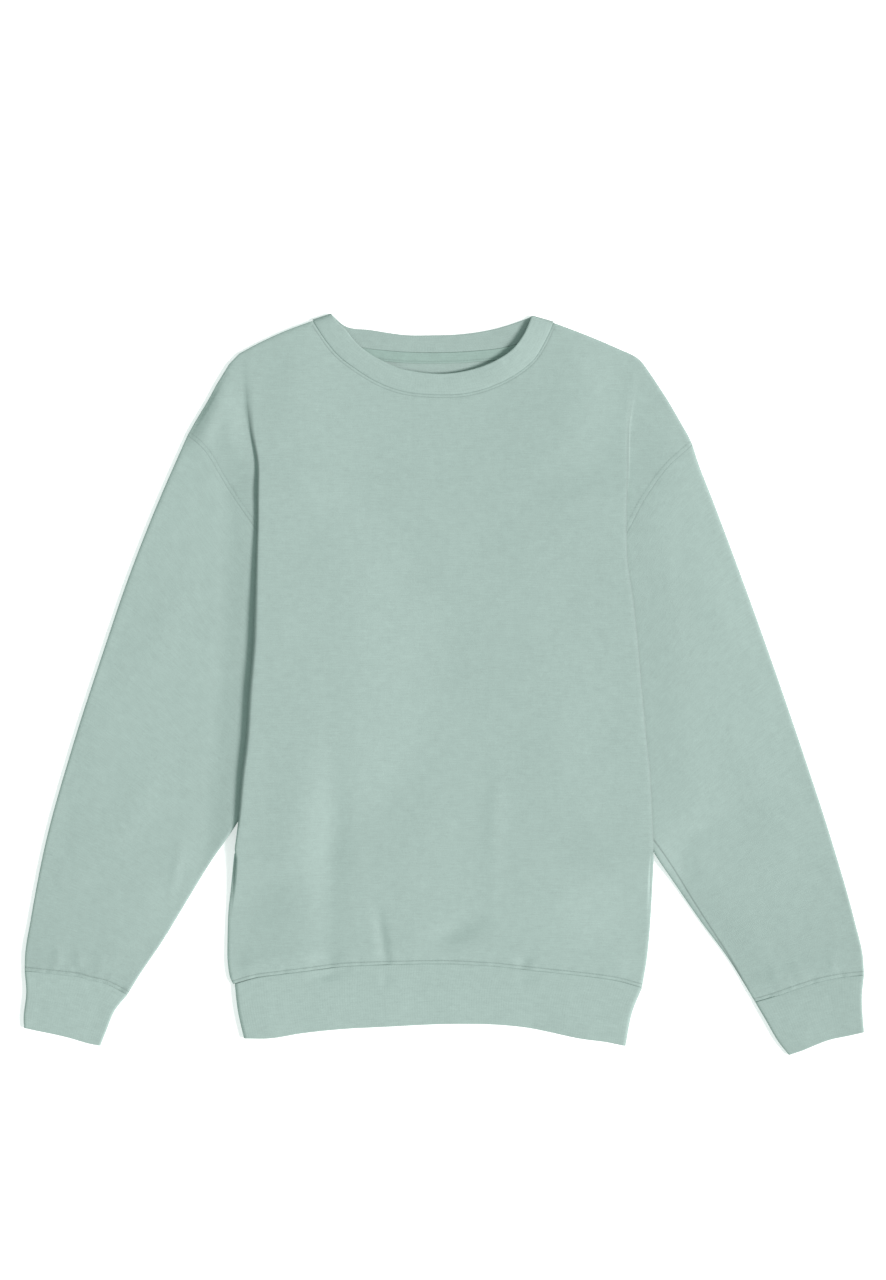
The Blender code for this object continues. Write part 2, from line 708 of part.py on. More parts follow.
def sleeve_grid(side):
    along_sleeve = side.sleeve_outer(SLEEVE_START) - side.sleeve_outer(0)
    cap_gap = along_sleeve / np.linalg.norm(along_sleeve) * CAP_GAP
    surface = patch(side.cap, smooth_path(CUFF_SEAM[side.name]), side.sleeve_outer, side.sleeve_inner)

    def place(across, down):
        x, y = surface(across, down) + cap_gap * (1 - down)
        return side.sign * x, y

    def heights(x, y, across, down):
        blouse = CUFF_BLOUSE * math.exp(-((1 - down) / CUFF_BLOUSE_SHARE - 1) ** 2)
        return side.high(abs(x), y) + blouse, side.low(abs(x), y)

    return tube_grid(ROWS_ABOVE, SLEEVE_ROWS, place, place, heights, even_rise(NOSE))


def side_path(points, first, inset):
    """The side of a rib band: moved in from its outer face, and down to the band's own first point."""
    moved = moved_left(points, inset)
    moved[0] += np.array(first) - np.array(points[0])
    return smooth_path(moved)


def cuff_grid(side):
    seam = moved_left(CUFF_SEAM[side.name], CUFF_GAP)
    outer = side_path(CUFF_OUTER[side.name], seam[0], -RIB / 2)
    inner = side_path(CUFF_INNER[side.name], seam[-1], RIB / 2)
    surface = patch(smooth_path(seam), smooth_path(CUFF_END[side.name]), outer, inner)

    def place(across, down):
        x, y = surface(across, down)
        return side.sign * x, y

    def heights(x, y, across, down):
        return RIB * 1.5 + CUFF_ROOM, RIB / 2

    return tube_grid(ROWS_ABOVE, BAND_ROWS, place, place, heights, even_rise(NOSE))


def hem_grid():
    """The hem band has a column wherever the front has one."""
    left, right = HEM_SEAM[0][0], HEM_SEAM[-1][0]

    def top(share):
        x = left + (right - left) * share
        return np.array((x, FRONT.hem_y(x) - SEAM_GAP / 2))

    sides = (side_path(HEM_LEFT, top(0), RIB / 2), side_path(HEM_RIGHT, top(1), -RIB / 2))
    surface = patch(top, smooth_path(HEM_END), *sides)

    def heights(x, y, across, down):
        return RIB * 1.5 + HEM_ROOM, RIB / 2

    ends = [FRONT.section(side, HEM_SEAM[0][1])["start"] for side in SIDES]
    columns = [-ends[0]] + [share * sum(ends) - ends[0] for share in FRONT.top_shares()] + [ends[1]]
    edge = [share * HEM_NOSE for share in HEM_EDGE_SHARES]
    inner = [(x - left) / (right - left) for x in columns]
    shares = edge + inner + [1 - share for share in reversed(edge)]
    return tube_grid(shares, BAND_ROWS, surface, surface, heights, even_rise(HEM_NOSE))


def neckband_grid():
    """The band's seam edge follows the panels' own points along the neck."""
    corners = []
    for k in (0, -1):
        seam, edge = np.array(NECK_SEAM_FRONT[k]), np.array(NECK_EDGE_FRONT[k])
        corners.append((seam + (edge - seam) * NECK_END_GAP, edge))
    sides = [smooth_path(corner) for corner in corners]
    count = NECK_STEPS
    halves = []
    for panel, edge in ((FRONT, NECK_EDGE_FRONT), (BACK, NECK_EDGE_BACK)):
        seam = moved_left(panel.neck_points(), THICK_SEAM_GAP)
        seam[0], seam[-1] = corners[0][0], corners[1][0]
        halves.append(patch(seam_reader(seam), smooth_path(edge), *sides))
    xs = [x for x, y in FRONT.neck_points()]

    def heights(x, y, across, down):
        flare = BAND_FLARE * math.exp(-((across - FLARE_AT) / FLARE_WIDTH) ** 2)
        return FLOOR_LAYER + LAYER + BODY_LOFT + (BAND_LIFT + flare) * down, RIB / 2

    def rise(across):
        return neck_rise(xs[round(across * count)])

    return tube_grid([k / count for k in range(count + 1)], BAND_ROWS, *halves, heights, rise)


def seam_reader(points):
    """Reads a list of points by the share of the way along it, point by point."""
    return lambda share: np.array(points[round(share * (len(points) - 1))])


def tape_grid(x_steps, y_steps):
    """The neck tape lies on the inside of the back, made from the back neck seam moved down."""
    points = {}
    seam = smooth_path(NECK_SEAM_BACK)
    lying = CLOTH + SEAM_GAP + TAPE / 2
    for i in range(x_steps + 1):
        share = TAPE_ENDS + (1 - 2 * TAPE_ENDS) * i / x_steps
        x, y = seam(share)
        for j in range(y_steps + 1):
            points[i, j] = (x, y - TAPE_FROM_SEAM - TAPE_WIDTH * j / y_steps, lying)
    return points


# ---- objects ----

def cloth_object(name, points, wall, material, collection):
    """A wall of cloth on a grid of points, given by column and row."""
    x_steps = max(i for i, j in points)
    y_steps = max(j for i, j in points)
    bm = bmesh.new()
    bmesh.ops.create_grid(bm, x_segments=x_steps, y_segments=y_steps, size=1)
    for vert in bm.verts:
        i = round((vert.co.x + 1) / 2 * x_steps)
        j = round((1 - vert.co.y) / 2 * y_steps)
        vert.co = [c * METRES for c in points[i, j]]
    bmesh.ops.remove_doubles(bm, verts=bm.verts, dist=1e-6)
    mesh = bpy.data.meshes.new(name)
    bm.to_mesh(mesh)
    bm.free()
    mesh.shade_smooth()
    mesh.materials.append(material)
    obj = bpy.data.objects.new(name, mesh)
    collection.objects.link(obj)
    solid = obj.modifiers.new("wall", "SOLIDIFY")
    solid.thickness = wall * METRES
    solid.offset = 0
    return obj


def cloth_material(name, colour):
    material = bpy.data.materials.new(name)
    material.use_nodes = True
    shader = material.node_tree.nodes["Principled BSDF"]
    shader.inputs["Base Color"].default_value = colour
    shader.inputs["Roughness"].default_value = CLOTH_ROUGHNESS
    shader.inputs["Metallic"].default_value = 0.0
    return material


def build():
    for obj in list(bpy.data.objects):
        bpy.data.objects.remove(obj)
    collection = bpy.data.collections.new(PIECES)
    bpy.context.scene.collection.children.link(collection)
    fleece = cloth_material("fleece", CLOTH_COLOUR)
    rib = cloth_material("rib", RIB_COLOUR)
    tape = cloth_material("tape", CLOTH_COLOUR)

    columns = len(FRONT.columns()) - 1
    rows = len(ROWS_ABOVE) + len(ROWS_BELOW) - 1
    cloth_object("front_panel", FRONT.grid(columns, rows), CLOTH, fleece, collection)
    cloth_object("back_panel", BACK.grid(columns, rows), CLOTH, fleece, collection)
    for side in SIDES:
        cloth_object("sleeve_" + side.name, sleeve_grid(side), CLOTH, fleece, collection)
        cloth_object("cuff_" + side.name, cuff_grid(side), RIB, rib, collection)
    cloth_object("hem_band", hem_grid(), RIB, rib, collection)
    cloth_object("neckband", neckband_grid(), RIB, rib, collection)
    cloth_object("neck_tape", tape_grid(TAPE_STEPS, 1), TAPE, tape, collection)


build()
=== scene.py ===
"""The looks of a crewneck sweatshirt in sage green fleece, laid flat on its back.

The cloth keeps the edges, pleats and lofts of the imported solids, worked out here on a finer grid.
The smaller creases, the rolled seams, the topstitching and the knit are added to it.
Lengths are in millimetres until a mesh is made. +Y runs towards the neck, -X is the left side as
seen from above, and the surface that it lies on is at z = 0.
"""
import math

import bmesh
import bpy
import numpy as np
from mathutils import Matrix, Vector
from mathutils.bvhtree import BVHTree


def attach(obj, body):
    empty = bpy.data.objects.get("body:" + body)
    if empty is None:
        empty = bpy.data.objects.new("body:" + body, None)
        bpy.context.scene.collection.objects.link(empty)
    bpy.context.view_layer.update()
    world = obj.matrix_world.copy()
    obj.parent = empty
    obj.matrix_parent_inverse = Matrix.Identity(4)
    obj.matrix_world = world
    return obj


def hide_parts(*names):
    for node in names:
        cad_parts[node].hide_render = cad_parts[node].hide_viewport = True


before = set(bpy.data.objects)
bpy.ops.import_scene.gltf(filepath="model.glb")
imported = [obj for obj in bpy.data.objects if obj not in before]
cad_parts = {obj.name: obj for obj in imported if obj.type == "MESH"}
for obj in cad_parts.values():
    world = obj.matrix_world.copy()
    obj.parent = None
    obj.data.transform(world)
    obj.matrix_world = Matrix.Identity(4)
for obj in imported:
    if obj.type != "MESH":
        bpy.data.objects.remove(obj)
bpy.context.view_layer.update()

METRES = 0.001

# ---- sizes of the cloth, most of them the same as the solids' ----

CLOTH = 1.6
RIB = 2.4
TAPE = 1.0
SHOULDER_GAP = 0.4       # between the rims of front and back
LAYER = 2.4              # from the middle of one layer to the middle of the next
FLOOR_LAYER = CLOTH / 2
BODY_LOFT = 2.4          # how far the front stands off the back at the ribs, beyond a layer
CHEST_LOFT = 7.2         # the same over the middle of the body
CHEST_RUN = 110.0        # distance from the ribs over which it rises to that
SLEEVE_LOFT = 1.6
HEM_BLOUSE = 1.6         # cloth pushed up just above the ribs
BLOUSE_FROM_SEAM = 15.0
BLOUSE_WIDTH = 11.0
CORNER_LIFT = 1.8        # how much higher the front's edge is at the hem, to meet the band
CORNER_RUN = 75.0
CUFF_BLOUSE = 1.0        # cloth pushed up just above a cuff
CUFF_BLOUSE_SHARE = 0.03  # how far from it, as a share of the sleeve's length
LOFT_RUN = 44.0          # distance beside the body over which the sleeve rises to its loft
EDGE_RUN = 30.0          # distance beside the sleeve's own fold over which its loft comes down
EDGE_SHARE = 0.6         # the share of the loft that is left at that fold
SHOULDER_LOFT = 1.1
SHOULDER_RUN = (215.0, 285.0)  # y between which the sleeve's loft passes into the shoulder's
CUFF_LOFT = 1.4
CUFF_RUN = 50.0
SLEEVE_DROP = 36.0       # distance over which a sleeve comes down beside the back's pleat
UPPER_DROP = {"left": 36.0, "right": 160.0}  # the same of its upper layer beside the body,
DROP_CHANGE = 80.0       # reached this far above the place where the sleeve leaves the body
BAND_LIFT = 0.6          # how much higher the neckband's free edge is than its seam
BAND_FLARE = 3.2         # how much more it stands up on the right side of the neck
FLARE_AT = 0.85
FLARE_WIDTH = 0.14
HEM_ROOM = 1.9           # between the two layers of the hem band,
CUFF_ROOM = 1.0          # and of a cuff
FOLD_RIM = 3.2           # width over which the panels close on each other at the side seam
FLAT_TURN = 0.3          # where a pleat is turned less than this, its cloth closes there as well
BLOUSE_ENDS = 25.0       # distance beside a fold over which the pushed-up cloth dies away
CALM_RUN = 30.0          # the same of the cloth's unevenness
CALM_FROM_RIB = 25.0     # the same beside a rib

BACK_FOLD = 1.1          # radius of the back's fold at the body's edge
INNER_FOLD = 1.1         # radius of a pleat's hidden fold
RIDGE = 7.0              # cloth between the hidden fold and the side seam, at the armpit
RIDGE_BELOW = 4.0        # the same RIDGE_RUN further down
RIDGE_AT_HEM = 0.8
RIDGE_RUN = 8.0
BACK_TUCKED = 2.5        # the back's fold lies this far inside the front's
LEAST_RETURN = 0.5       # the shortest stretch of cloth between the two folds of a pleat

NOSE = 0.018             # share of a column or of a sleeve's width that rounds an edge
ROUNDNESS = 2.6          # 2 makes an edge round, and more makes it squarer
JUNCTION_RISE = 9.0      # distance from the ends of the neck seam over which the layers part
ARMPIT_Y = 45.0
NECK_END_GAP = 0.01      # share of the neckband's width that it leaves free at each shoulder
SLEEVE_START = 0.03      # share of a sleeve's length that shows the way it leaves its seam
TAPE_FROM_SEAM = 0.2
TAPE_WIDTH = 10.5
TAPE_ENDS = 0.06         # share of the neck seam that the tape leaves free at each end
TAPE_LIFT = 0.1          # between the tape and the back
TAPE_DENT = 0.3
TAPE_RIM = 0.2           # share of the tape's thickness that is left at its rim
FOLDED_RIM = 0.12        # the same of a rib band at its folded edge

# Shallow waves down at a rib band's folded edge: height, length of one radian, start
HEM_WAVES = ((0.25, 17.0, 0.0), (0.2, 9.3, 1.0))
CUFF_WAVES = {"left": ((0.2, 9.0, -1.0),), "right": ((0.2, 9.0, 1.0),)}

# ---- sizes of the grids ----

FRONT_STEP = 3.0         # between the columns of a panel
BACK_STEP = 4.5
ROW_STEP = 1.5           # between its rows, as a share of that
FLAP_STEP = 1.4          # between the columns of its flap, the same way
FOLD_COLUMNS = (("outer", 8), ("middle", 6), ("inner", 5))
ABOVE_RUN = 270.0        # about how far a panel runs from its upper edge to the armpit,
BELOW_RUN = 330.0        # from there to the hem,
FLAP_RUN = 70.0          # from the hidden fold to the armhole seam,
BESIDE_NECK = 70.0       # and from the fold at the body's edge across to the neck
LEAST_BESIDE_NECK = 3    # columns there
FLAP_NEAR = 24.0         # the last stretch of a flap, where columns keep their distance
BELOW_STARTS = 0.03      # share of the run below the armpit that stays without a row
SAME_ROW = 5e-5          # rows that are closer together than this share are one row
TOP_SEARCH = (200.0, 360.0, 1601)  # y of the points among which each column's top is found
HEM_SEARCH = (-200.0, 3)  # y where the search for each column's lower end starts, and its rounds
SLEEVE_SIZE = (225.0, 585.0)
SLEEVE_STEPS = (3.6, 4.6)
UNDERARM_COLUMNS = (0.938, 0.98, 20)  # more columns where the underarm seam may show
CUFF_SIZE = (105.0, 57.0)
CUFF_STEP = 2.4
HEM_DEPTH = 59.0
HEM_COLUMNS = 130
NECKBAND_DEPTH = 20.0
NECKBAND_COLUMNS = 96
BAND_STEP = 2.5
TAPE_LENGTH = 215.0
TAPE_STEP = 0.8
LINE_POINTS = {"neck": 81, "hem": 80, "armhole": 60, "cuff": 40, "underarm": 30}
OUTER_SHARES = (0.05, 1, 14)  # of the sleeve's outer edge, from which its outline is read,
INNER_SHARES = (0, 1, 12)     # and of its inner edge

# ---- how the seams are finished, and where painted shade darkens the cloth ----

SEAM_GAP = 0.04
SEAM_ROLL = 0.35         # how far a seamed edge turns in
ROLL_WIDTH = 0.9
RIM_RADIUS = 0.9         # rounding of a cut edge
RIM_LEAST = 0.15         # share of the wall left at a seamed edge
STITCH_DENT = 0.45       # how far the topstitching pulls the cloth in
DENT_WIDTH = 0.6
RIB_SWELL = 0.35         # how far a rib band swells between its seam and its folded edge
PUCKER_WIDTH = 7.0
PAINTED_SHADE_WIDTH = 0.5         # half width of the painted shade along a seam and along its stitches
STITCH_LENGTH = 2.5
STITCH_PITCH = 3.1
THREAD = 0.3             # the thread's radius
STITCH_SUNK = {1: 0.35, -1: 0.9}  # the share of that by which stitches lie lower, above and below
HEM_STITCHED = slice(2, -1)   # the points of each line that the stitching runs over
NECK_STITCHED = slice(6, -6)
BACK_NECK_STITCHED = slice(4, -4)
CUFF_STITCHED = (0.02, 0.98, 60)
STITCH_JUMP = 3.0        # a line of stitches breaks where the next is this many pitches away
CLEAR_OF_CLOTH = 0.1     # metres from the floor, from where stitches are dropped on the cloth
PAINTED_FOLD_SHADE = 0.85        # painted shade round the body's fold, where a seam's line has 1
FOLD_SHADE_TURN = 0.2    # how far it is turned where it gets that dark
FOLD_SHADE_ENDS = 12.0   # the run over which that ends, below where a sleeve leaves the body
PAINTED_INSIDE_SHADE = 0.16      # painted shade on the neckband's inner half, which lies low inside the neck
# painted shade over the whole right cuff, making it darker than the left
PAINTED_CUFF_SHADE = {"left": 0.0, "right": 0.16}

SEAMS = {
    # seam: distance to its topstitching, pucker, depth (1 is full), painted shades of seam and stitching
    "hem": (3.3, 0.22, 0.65, 0.7, 1.0),
    "neck": (2.7, 0.08, 0.45, 0.3, 0.7),
    "neck_back": (2.7, 0.0, 0.1, 0.0, 0.6),
    "armhole": (3.8, 0.10, 0.2, 0.35, 0.4),
    "cuff": (3.8, 0.22, 0.45, 0.35, 1.0),
    "tape": (8.3, 0.0, 0.5, 0.0, 0.5),
}

# Ripples that a seam gathers along its length: wavelength in mm, share of the pucker
PUCKERS = ((9.1, 0.5), (14.3, 0.7), (23.0, 0.6), (41.0, 0.5))

# The fold at the body's edge, from the shoulder to the hem
BODY_EDGE = (
    # y, left, right
    (330, 193, 192),
    (306, 192, 189),
    (272, 190, 182),
    (245, 186.5, 178),
    (204, 179, 177),
    (160, 179, 175),
    (127, 180, 175.5),
    (80, 181.5, 181.5),
    (40, 183, 186),
    (-8, 187, 190),
    (-50, 189.5, 194),
    (-90, 194, 198),
    (-132, 197.5, 200),
    (-160, 201, 201),
    (-190, 204, 200),
    (-227, 207.5, 198),
    (-260, 208, 195),
    (-279, 206, 192),
    (-290, 201, 190),
)

# How deep the pleat is, and how far the cloth turns over in it (1 is right over)
PLEAT = (
    # y, depth, left turn, right turn
    (330, 0, 0.004, 0.004),
    (312, 0.5, 0.014, 0.008),
    (295, 1, 0.034, 0.018),
    (280, 1.4, 0.068, 0.034),
    (266, 1.8, 0.118, 0.07),
    (252, 2, 0.188, 0.115),
    (238, 2.2, 0.285, 0.18),
    (224, 2.4, 0.4, 0.27),
    (210, 2.5, 0.53, 0.38),
    (197, 2.5, 0.66, 0.51),
    (184, 2.6, 0.82, 0.7),
    (172, 4.5, 1.0, 1.0),
    (160, 20, 1.0, 1.0),
    (148, 36, 1.0, 1.0),
    (130, 52, 1.0, 1.0),
    (100, 68, 1.0, 1.0),
    (45, 86, 1.0, 1.0),
    (-50, 70, 1.0, 1.0),
    (-130, 42, 1.0, 1.0),
    (-150, 20, 1.0, 1.0),
    (-161, 4.5, 1.0, 1.0),
    (-168, 2.6, 0.78, 0.78),
    (-175, 2.5, 0.64, 0.64),
    (-182, 2.4, 0.51, 0.51),
    (-189, 2.2, 0.39, 0.39),
    (-196, 2, 0.28, 0.28),
    (-203, 1.8, 0.18, 0.18),
    (-210, 1.5, 0.1, 0.1),
    (-218, 1.2, 0.04, 0.04),
    (-228, 0.8, 0.012, 0.012),
    (-245, 0.4, 0.005, 0.005),
    (-291, 0, 0.004, 0.004),
)

# How far in from its fold the front is held up by what lies under it
SUPPORT = (
    # y, distance
    (330, 0),
    (262, 2),
    (225, 12),
    (190, 30),
    (160, 50),
    (100, 72),
    (45, 87),
    (-50, 74),
    (-130, 50),
    (-165, 30),
    (-200, 12),
    (-240, 1),
    (-291, 0),
)

# The distance over which the front comes down from there
PLEAT_SAG = (
    # y, distance
    (330, 60),
    (240, 60),
    (170, 70),
    (70, 105),
    (-50, 105),
    (-120, 85),
    (-160, 65),
    (-185, 65),
    (-215, 90),
    (-291, 90),
)

# The share of a fold's cloth that is there before it turns: the pleat starts as a wide, soft slope
SLACK = (
    # y, share
    (330, 1.3),
    (268, 1.1),
    (240, 0.7),
    (212, 0.4),
    (200, 0.35),
    (-291, 0.35),
)

# The radius of the front's fold at the body's edge. On the left side it stands up more.
FRONT_BEND = (
    # y, left, right
    (330, 1.9, 1.9),
    (230, 1.7, 1.7),
    (160, 1.5, 1.2),
    (110, 2.2, 1.0),
    (50, 3.1, 1.0),
    (-50, 3.1, 1.0),
    (-110, 2.4, 1.0),
    (-160, 1.2, 1.0),
    (-200, 1.1, 1.1),
    (-291, 1.1, 1.1),
)

# Outline points: x is measured outwards from the middle, to the cloth's outer face
SHOULDER = {
    "left": ((126, 349), (153, 339), (179, 327), (192, 320), (199, 316), (204, 311), (210, 301),
             (216, 292), (227, 272), (239, 252), (246.3, 239)),
    "right": ((105, 347), (129, 338), (149, 330), (172, 320), (181, 316), (188, 311), (196, 301),
              (202, 292), (215, 272), (226, 253), (234, 239), (238.3, 230)),
}
ARMHOLE = {
    "left": ((246.3, 239), (235, 230), (226, 219), (216, 202), (207, 187), (187, 158),
             (152, 109), (103, 45)),
    "right": ((238.3, 230), (229, 222), (213, 207), (197, 185), (189, 172), (176, 147),
              (151, 107), (105, 45)),
}
SLEEVE_OUTER = {
    "left": ((246.3, 239), (257, 215), (274, 176), (302, 105), (327, 32), (358, -64), (382, -150),
             (397, -227), (402, -258), (402.5, -275)),
    "right": ((238.3, 230), (243, 215), (258, 176), (285, 104), (311, 32), (344, -64), (372, -150),
              (394, -227), (402, -262), (403, -279)),
}
SLEEVE_INNER = {
    "left": ((103, 45), (155, -50), (203, -140), (223, -169), (247, -208), (270, -246), (293, -280),
             (304, -298)),
    "right": ((105, 45), (142, -50), (180, -123), (206, -169), (219, -188), (246, -227), (274, -265),
              (298.5, -305)),
}
CUFF_SEAM = {
    "left": ((402.5, -275), (383, -277), (365, -279), (350, -281), (340, -284), (326, -287), (304, -298)),
    "right": ((403, -279), (376, -282), (358, -286), (336, -293), (319, -299), (298.5, -305)),
}
CUFF_END = {
    "left": ((403, -330), (389, -333), (374, -336), (357, -340), (340, -345), (330, -347)),
    "right": ((403, -334), (390, -337), (368, -342), (355, -347), (343, -352), (331, -356)),
}
CUFF_OUTER = {
    "left": ((402.5, -275), (401, -294), (403.5, -323), (403, -330)),
    "right": ((403, -279), (401, -299), (402, -323), (403, -334)),
}
CUFF_INNER = {
    "left": ((304, -298), (316, -313), (324, -332), (330, -347)),
    "right": ((298.5, -305), (309, -323), (320, -342), (331, -356)),
}

# Curves across the body, from left to right
NECK_SEAM_FRONT = ((-126, 349), (-121, 341), (-113, 329), (-103, 317), (-84, 302), (-62, 289), (-43, 282),
                   (-10, 278), (19, 279), (48, 287), (69, 298), (86, 312), (97, 330), (105, 347))
NECK_EDGE_FRONT = ((-108, 355), (-103, 348), (-95, 341), (-88, 332), (-79, 323), (-58, 310), (-41, 303),
                   (-26, 300), (-3, 298), (26, 302), (48, 310), (67, 323), (77, 337), (84, 353))
NECK_SEAM_BACK = ((-126, 349), (-110, 336), (-85, 325), (-50, 320), (-10, 318.5), (28, 320), (60, 324),
                  (88, 334), (105, 347))
NECK_EDGE_BACK = ((-108, 355), (-95, 344), (-70, 340), (-33, 335), (-11, 335), (16, 336), (52, 342),
                  (71, 348), (84, 353))
HEM_SEAM = ((-201, -287), (-179, -281), (-156, -278), (-136, -275.5), (-88, -270), (-57, -269), (-5, -268),
            (43, -270), (80, -274), (127, -279), (164, -284), (190, -291))
HEM_END = ((-192, -340), (-170, -340), (-137, -335), (-99, -331), (-61, -329), (16, -326), (55, -327),
           (83, -330), (103, -334), (131, -340), (160, -344), (174, -347))
HEM_LEFT = ((-201, -287), (-198, -313), (-192, -340))
HEM_RIGHT = ((190, -291), (181, -313), (174, -347))

# ---- soft folds and creases: a ridge where the height is above 0, a trough below it ----

FRONT_CREASES = (
    # x, y, half length, half width, degrees from +X, bend, height
    (-108, -150, 165, 15, 88, 3, -2.2),
    (-142, -150, 165, 24, 88, 3, 1.4),
    (-59, -246, 46, 4.6, 98, 2, -1.9),
    (-112, -262, 22, 8, 4, 1, -1.8),
    (12, -236, 44, 10, 21, 3, -2.8),
    (76, -266, 14, 6, 60, 0, -1.2),
    (48, -140, 90, 9, 88, -4, 0.8),
    (141, -213, 9, 4, 0, 0, -0.6),
    (-20, -150, 70, 24, 70, 6, 0.7),
    (110, -60, 90, 26, 97, -8, 0.8),
    (-40, 120, 80, 30, 75, 6, -0.6),
    (70, 150, 70, 26, 100, -5, 0.6),
)

BAND_CREASES = (
    (-113, -279, 27, 5, 8, 0, -2.0),
    (78, -281, 16, 4, -5, 0, -1.0),
    (-57, -283, 14, 4, 95, 0, -0.5),
)

BACK_CREASES = (
    (-70, 40, 120, 14, 83, 6, 0.9),
    (60, -60, 140, 12, 95, -5, 0.9),
    (0, -200, 50, 9, 60, 3, 0.7),
    (110, 170, 60, 10, 110, 4, 0.7),
)

# On the sleeves and the drop shoulders x is measured outwards from the middle
UPPER_CREASES = {
    "left": (
        (203, 255, 56, 24, -66, 2, 3.0),
        (224, 254, 46, 9, -66, 2, 3.6),
        (257, -178, 40, 5, -78, 2, 0.8),
        (371, -262, 14, 4.5, -84, 1, 0.8),
        (350, -265, 13, 4.5, -96, 1, 0.7),
        (330, -268, 12, 4, -70, 1, 0.4),
        (300, -120, 90, 18, -60, 5, 0.9),
        (265, 60, 80, 16, -66, 4, 0.8),
        (360, -140, 60, 14, -76, 3, -0.6),
    ),
    "right": (
        (340, -276, 14, 4.5, -70, 1, 0.5),
        (372, -268, 13, 4, -88, 1, 0.5),
        (318, -280, 12, 4, -60, 1, 0.4),
        (300, -90, 90, 18, -60, -5, 0.9),
        (258, 70, 70, 16, -64, 4, 0.8),
        (352, -180, 60, 14, -74, 3, -0.6),
    ),
}
LOWER_CREASES = {
    "left": ((290, -40, 110, 14, -66, 4, 1.2), (340, -200, 60, 9, -72, 3, 1.0)),
    "right": ((280, -60, 110, 14, -66, -4, 1.2), (335, -190, 60, 9, -70, 3, 1.0)),
}
CREASE_MARGIN = 22.0     # a sleeve's creases fade out beside the body's fold
EDGE_MARGIN = 6.0        # and beside the sleeve's own edge

# The underarm seam, where it has turned up on to the sleeve's upper face
UNDERARM = {
    "right": ((200, -148), (208, -159), (224, -183), (238, -206), (256, -234), (273, -260),
              (283, -277), (293, -296)),
}
UNDERARM_WIDTH = 0.8
UNDERARM_DENT = 0.3
# painted shade along the underarm seam's groove
UNDERARM_PAINTED_SHADE = 1.1

# Slow, shallow unevenness of cloth that has been smoothed by hand: wavelength, direction, start, height
UNEVEN = (
    (173, 20, 0.3, 0.09),
    (118, 105, 1.9, 0.07),
    (83, 61, 4.0, 0.05),
    (57, 142, 2.2, 0.04),
)

# ---- finish: sage green fleece and its rib ----

SAGE = (0.410, 0.533, 0.493)
SAGE_RIB = (0.390, 0.507, 0.469)
SAGE_TAPE = (0.345, 0.477, 0.429)
SAGE_THREAD = (0.30, 0.41, 0.375)
WALE_PITCH = 0.00105     # metres between the columns of knit stitches
COURSE_PITCH = 0.00085
RIB_PITCH = 0.0024
PAINTED_SEAM_SHADE = 0.30        # how much painted shade darkens the colour where the seam attribute is 1
JERSEY_DEPTH = 0.00012   # metres, of the knit's own relief
RIB_DEPTH = 0.00006
TAPE_DEPTH = 0.00008
V_SLANT = 1.1            # how far the legs of a V stitch slant, in courses
LOOP_RELIEF = (0.3, 0.7)  # the shares of its height that change and don't change along a column
RIB_FULLNESS = 0.7       # less makes a rib's top flatter
RIB_LOOPS = 0.08
SLUB = (70, 900, 1)      # how fine the yarn's streaks are across, along and through the cloth
FUZZ = (1600, 3, 0.65)   # scale, detail and roughness of the fuzz of the yarn
FLEECE_FUZZ = 0.9
RIB_FUZZ = 0.5
CLOTH_FINISH = {
    "Metallic": 0.0,
    "Specular IOR Level": 0.12,
    "Sheen Weight": 0.05,
    "Sheen Roughness": 0.6,
    "Sheen Tint": (0.85, 0.95, 0.9, 1),
}


# ---- curves and shapes ----

def cubic(ends, slopes, step, t):
    """The curve between two ends with given slopes, at the shares t of the step between them."""
    return (ends[0] * (1 + 2 * t) * (1 - t) ** 2 + ends[1] * t * t * (3 - 2 * t)
            + step * (slopes[0] * t * (1 - t) ** 2 - slopes[1] * t * t * (1 - t)))


def smooth_column(rows, key, value):
    """A smooth, unwavering curve through one column of a table, read by another column."""
    x, y = np.array(sorted((row[key], row[value]) for row in rows), float).T
    step = np.diff(x)
    rise = np.diff(y) / step
    before, after = rise[:-1], rise[1:]
    same_way = before * after > 0
    inner = np.divide(2 * before * after, before + after, out=np.zeros_like(before), where=same_way)
    slope = np.concatenate((rise[:1], inner, rise[-1:]))

    def at(q):
        q = np.clip(q, x[0], x[-1])
        i = np.clip(np.searchsorted(x, q) - 1, 0, len(step) - 1)
        t = (q - x[i]) / step[i]
        return cubic((y[i], y[i + 1]), (slope[i], slope[i + 1]), step[i], t)

    return at


def smooth_path(points):
    """A smooth path through points, read by shares of its length."""
    p = np.array(points, float)
    t = np.concatenate(([0], np.cumsum(np.linalg.norm(np.diff(p, axis=0), axis=1))))
    t /= t[-1]
    tangent = np.gradient(p, t, axis=0)

    def at(share):
        s = np.clip(np.asarray(share, float), 0, 1)
        i = np.clip(np.searchsorted(t, s) - 1, 0, len(t) - 2)
        h = (t[i + 1] - t[i])[..., None]
        k = (s - t[i])[..., None] / h
        return cubic((p[i], p[i + 1]), (tangent[i], tangent[i + 1]), h, k)

    return at


def moved_left(points, distance):
    """The points moved to the left of the way they run."""
    p = np.array(points, float)
    along = np.gradient(p, axis=0)
    along /= np.linalg.norm(along, axis=1)[:, None]
    return p + distance * np.column_stack((-along[:, 1], along[:, 0]))


def patch(top, bottom, start, end, across, down):
    """Points stretched between four edges, which are given as points at each share across or down."""
    a = across[:, None, None]
    d = down[None, :, None]
    along = (1 - d) * top[:, None] + d * bottom[:, None] + (1 - a) * start[None] + a * end[None]
    corners = (1 - a) * ((1 - d) * top[0] + d * bottom[0]) + a * ((1 - d) * top[-1] + d * bottom[-1])
    return along - corners


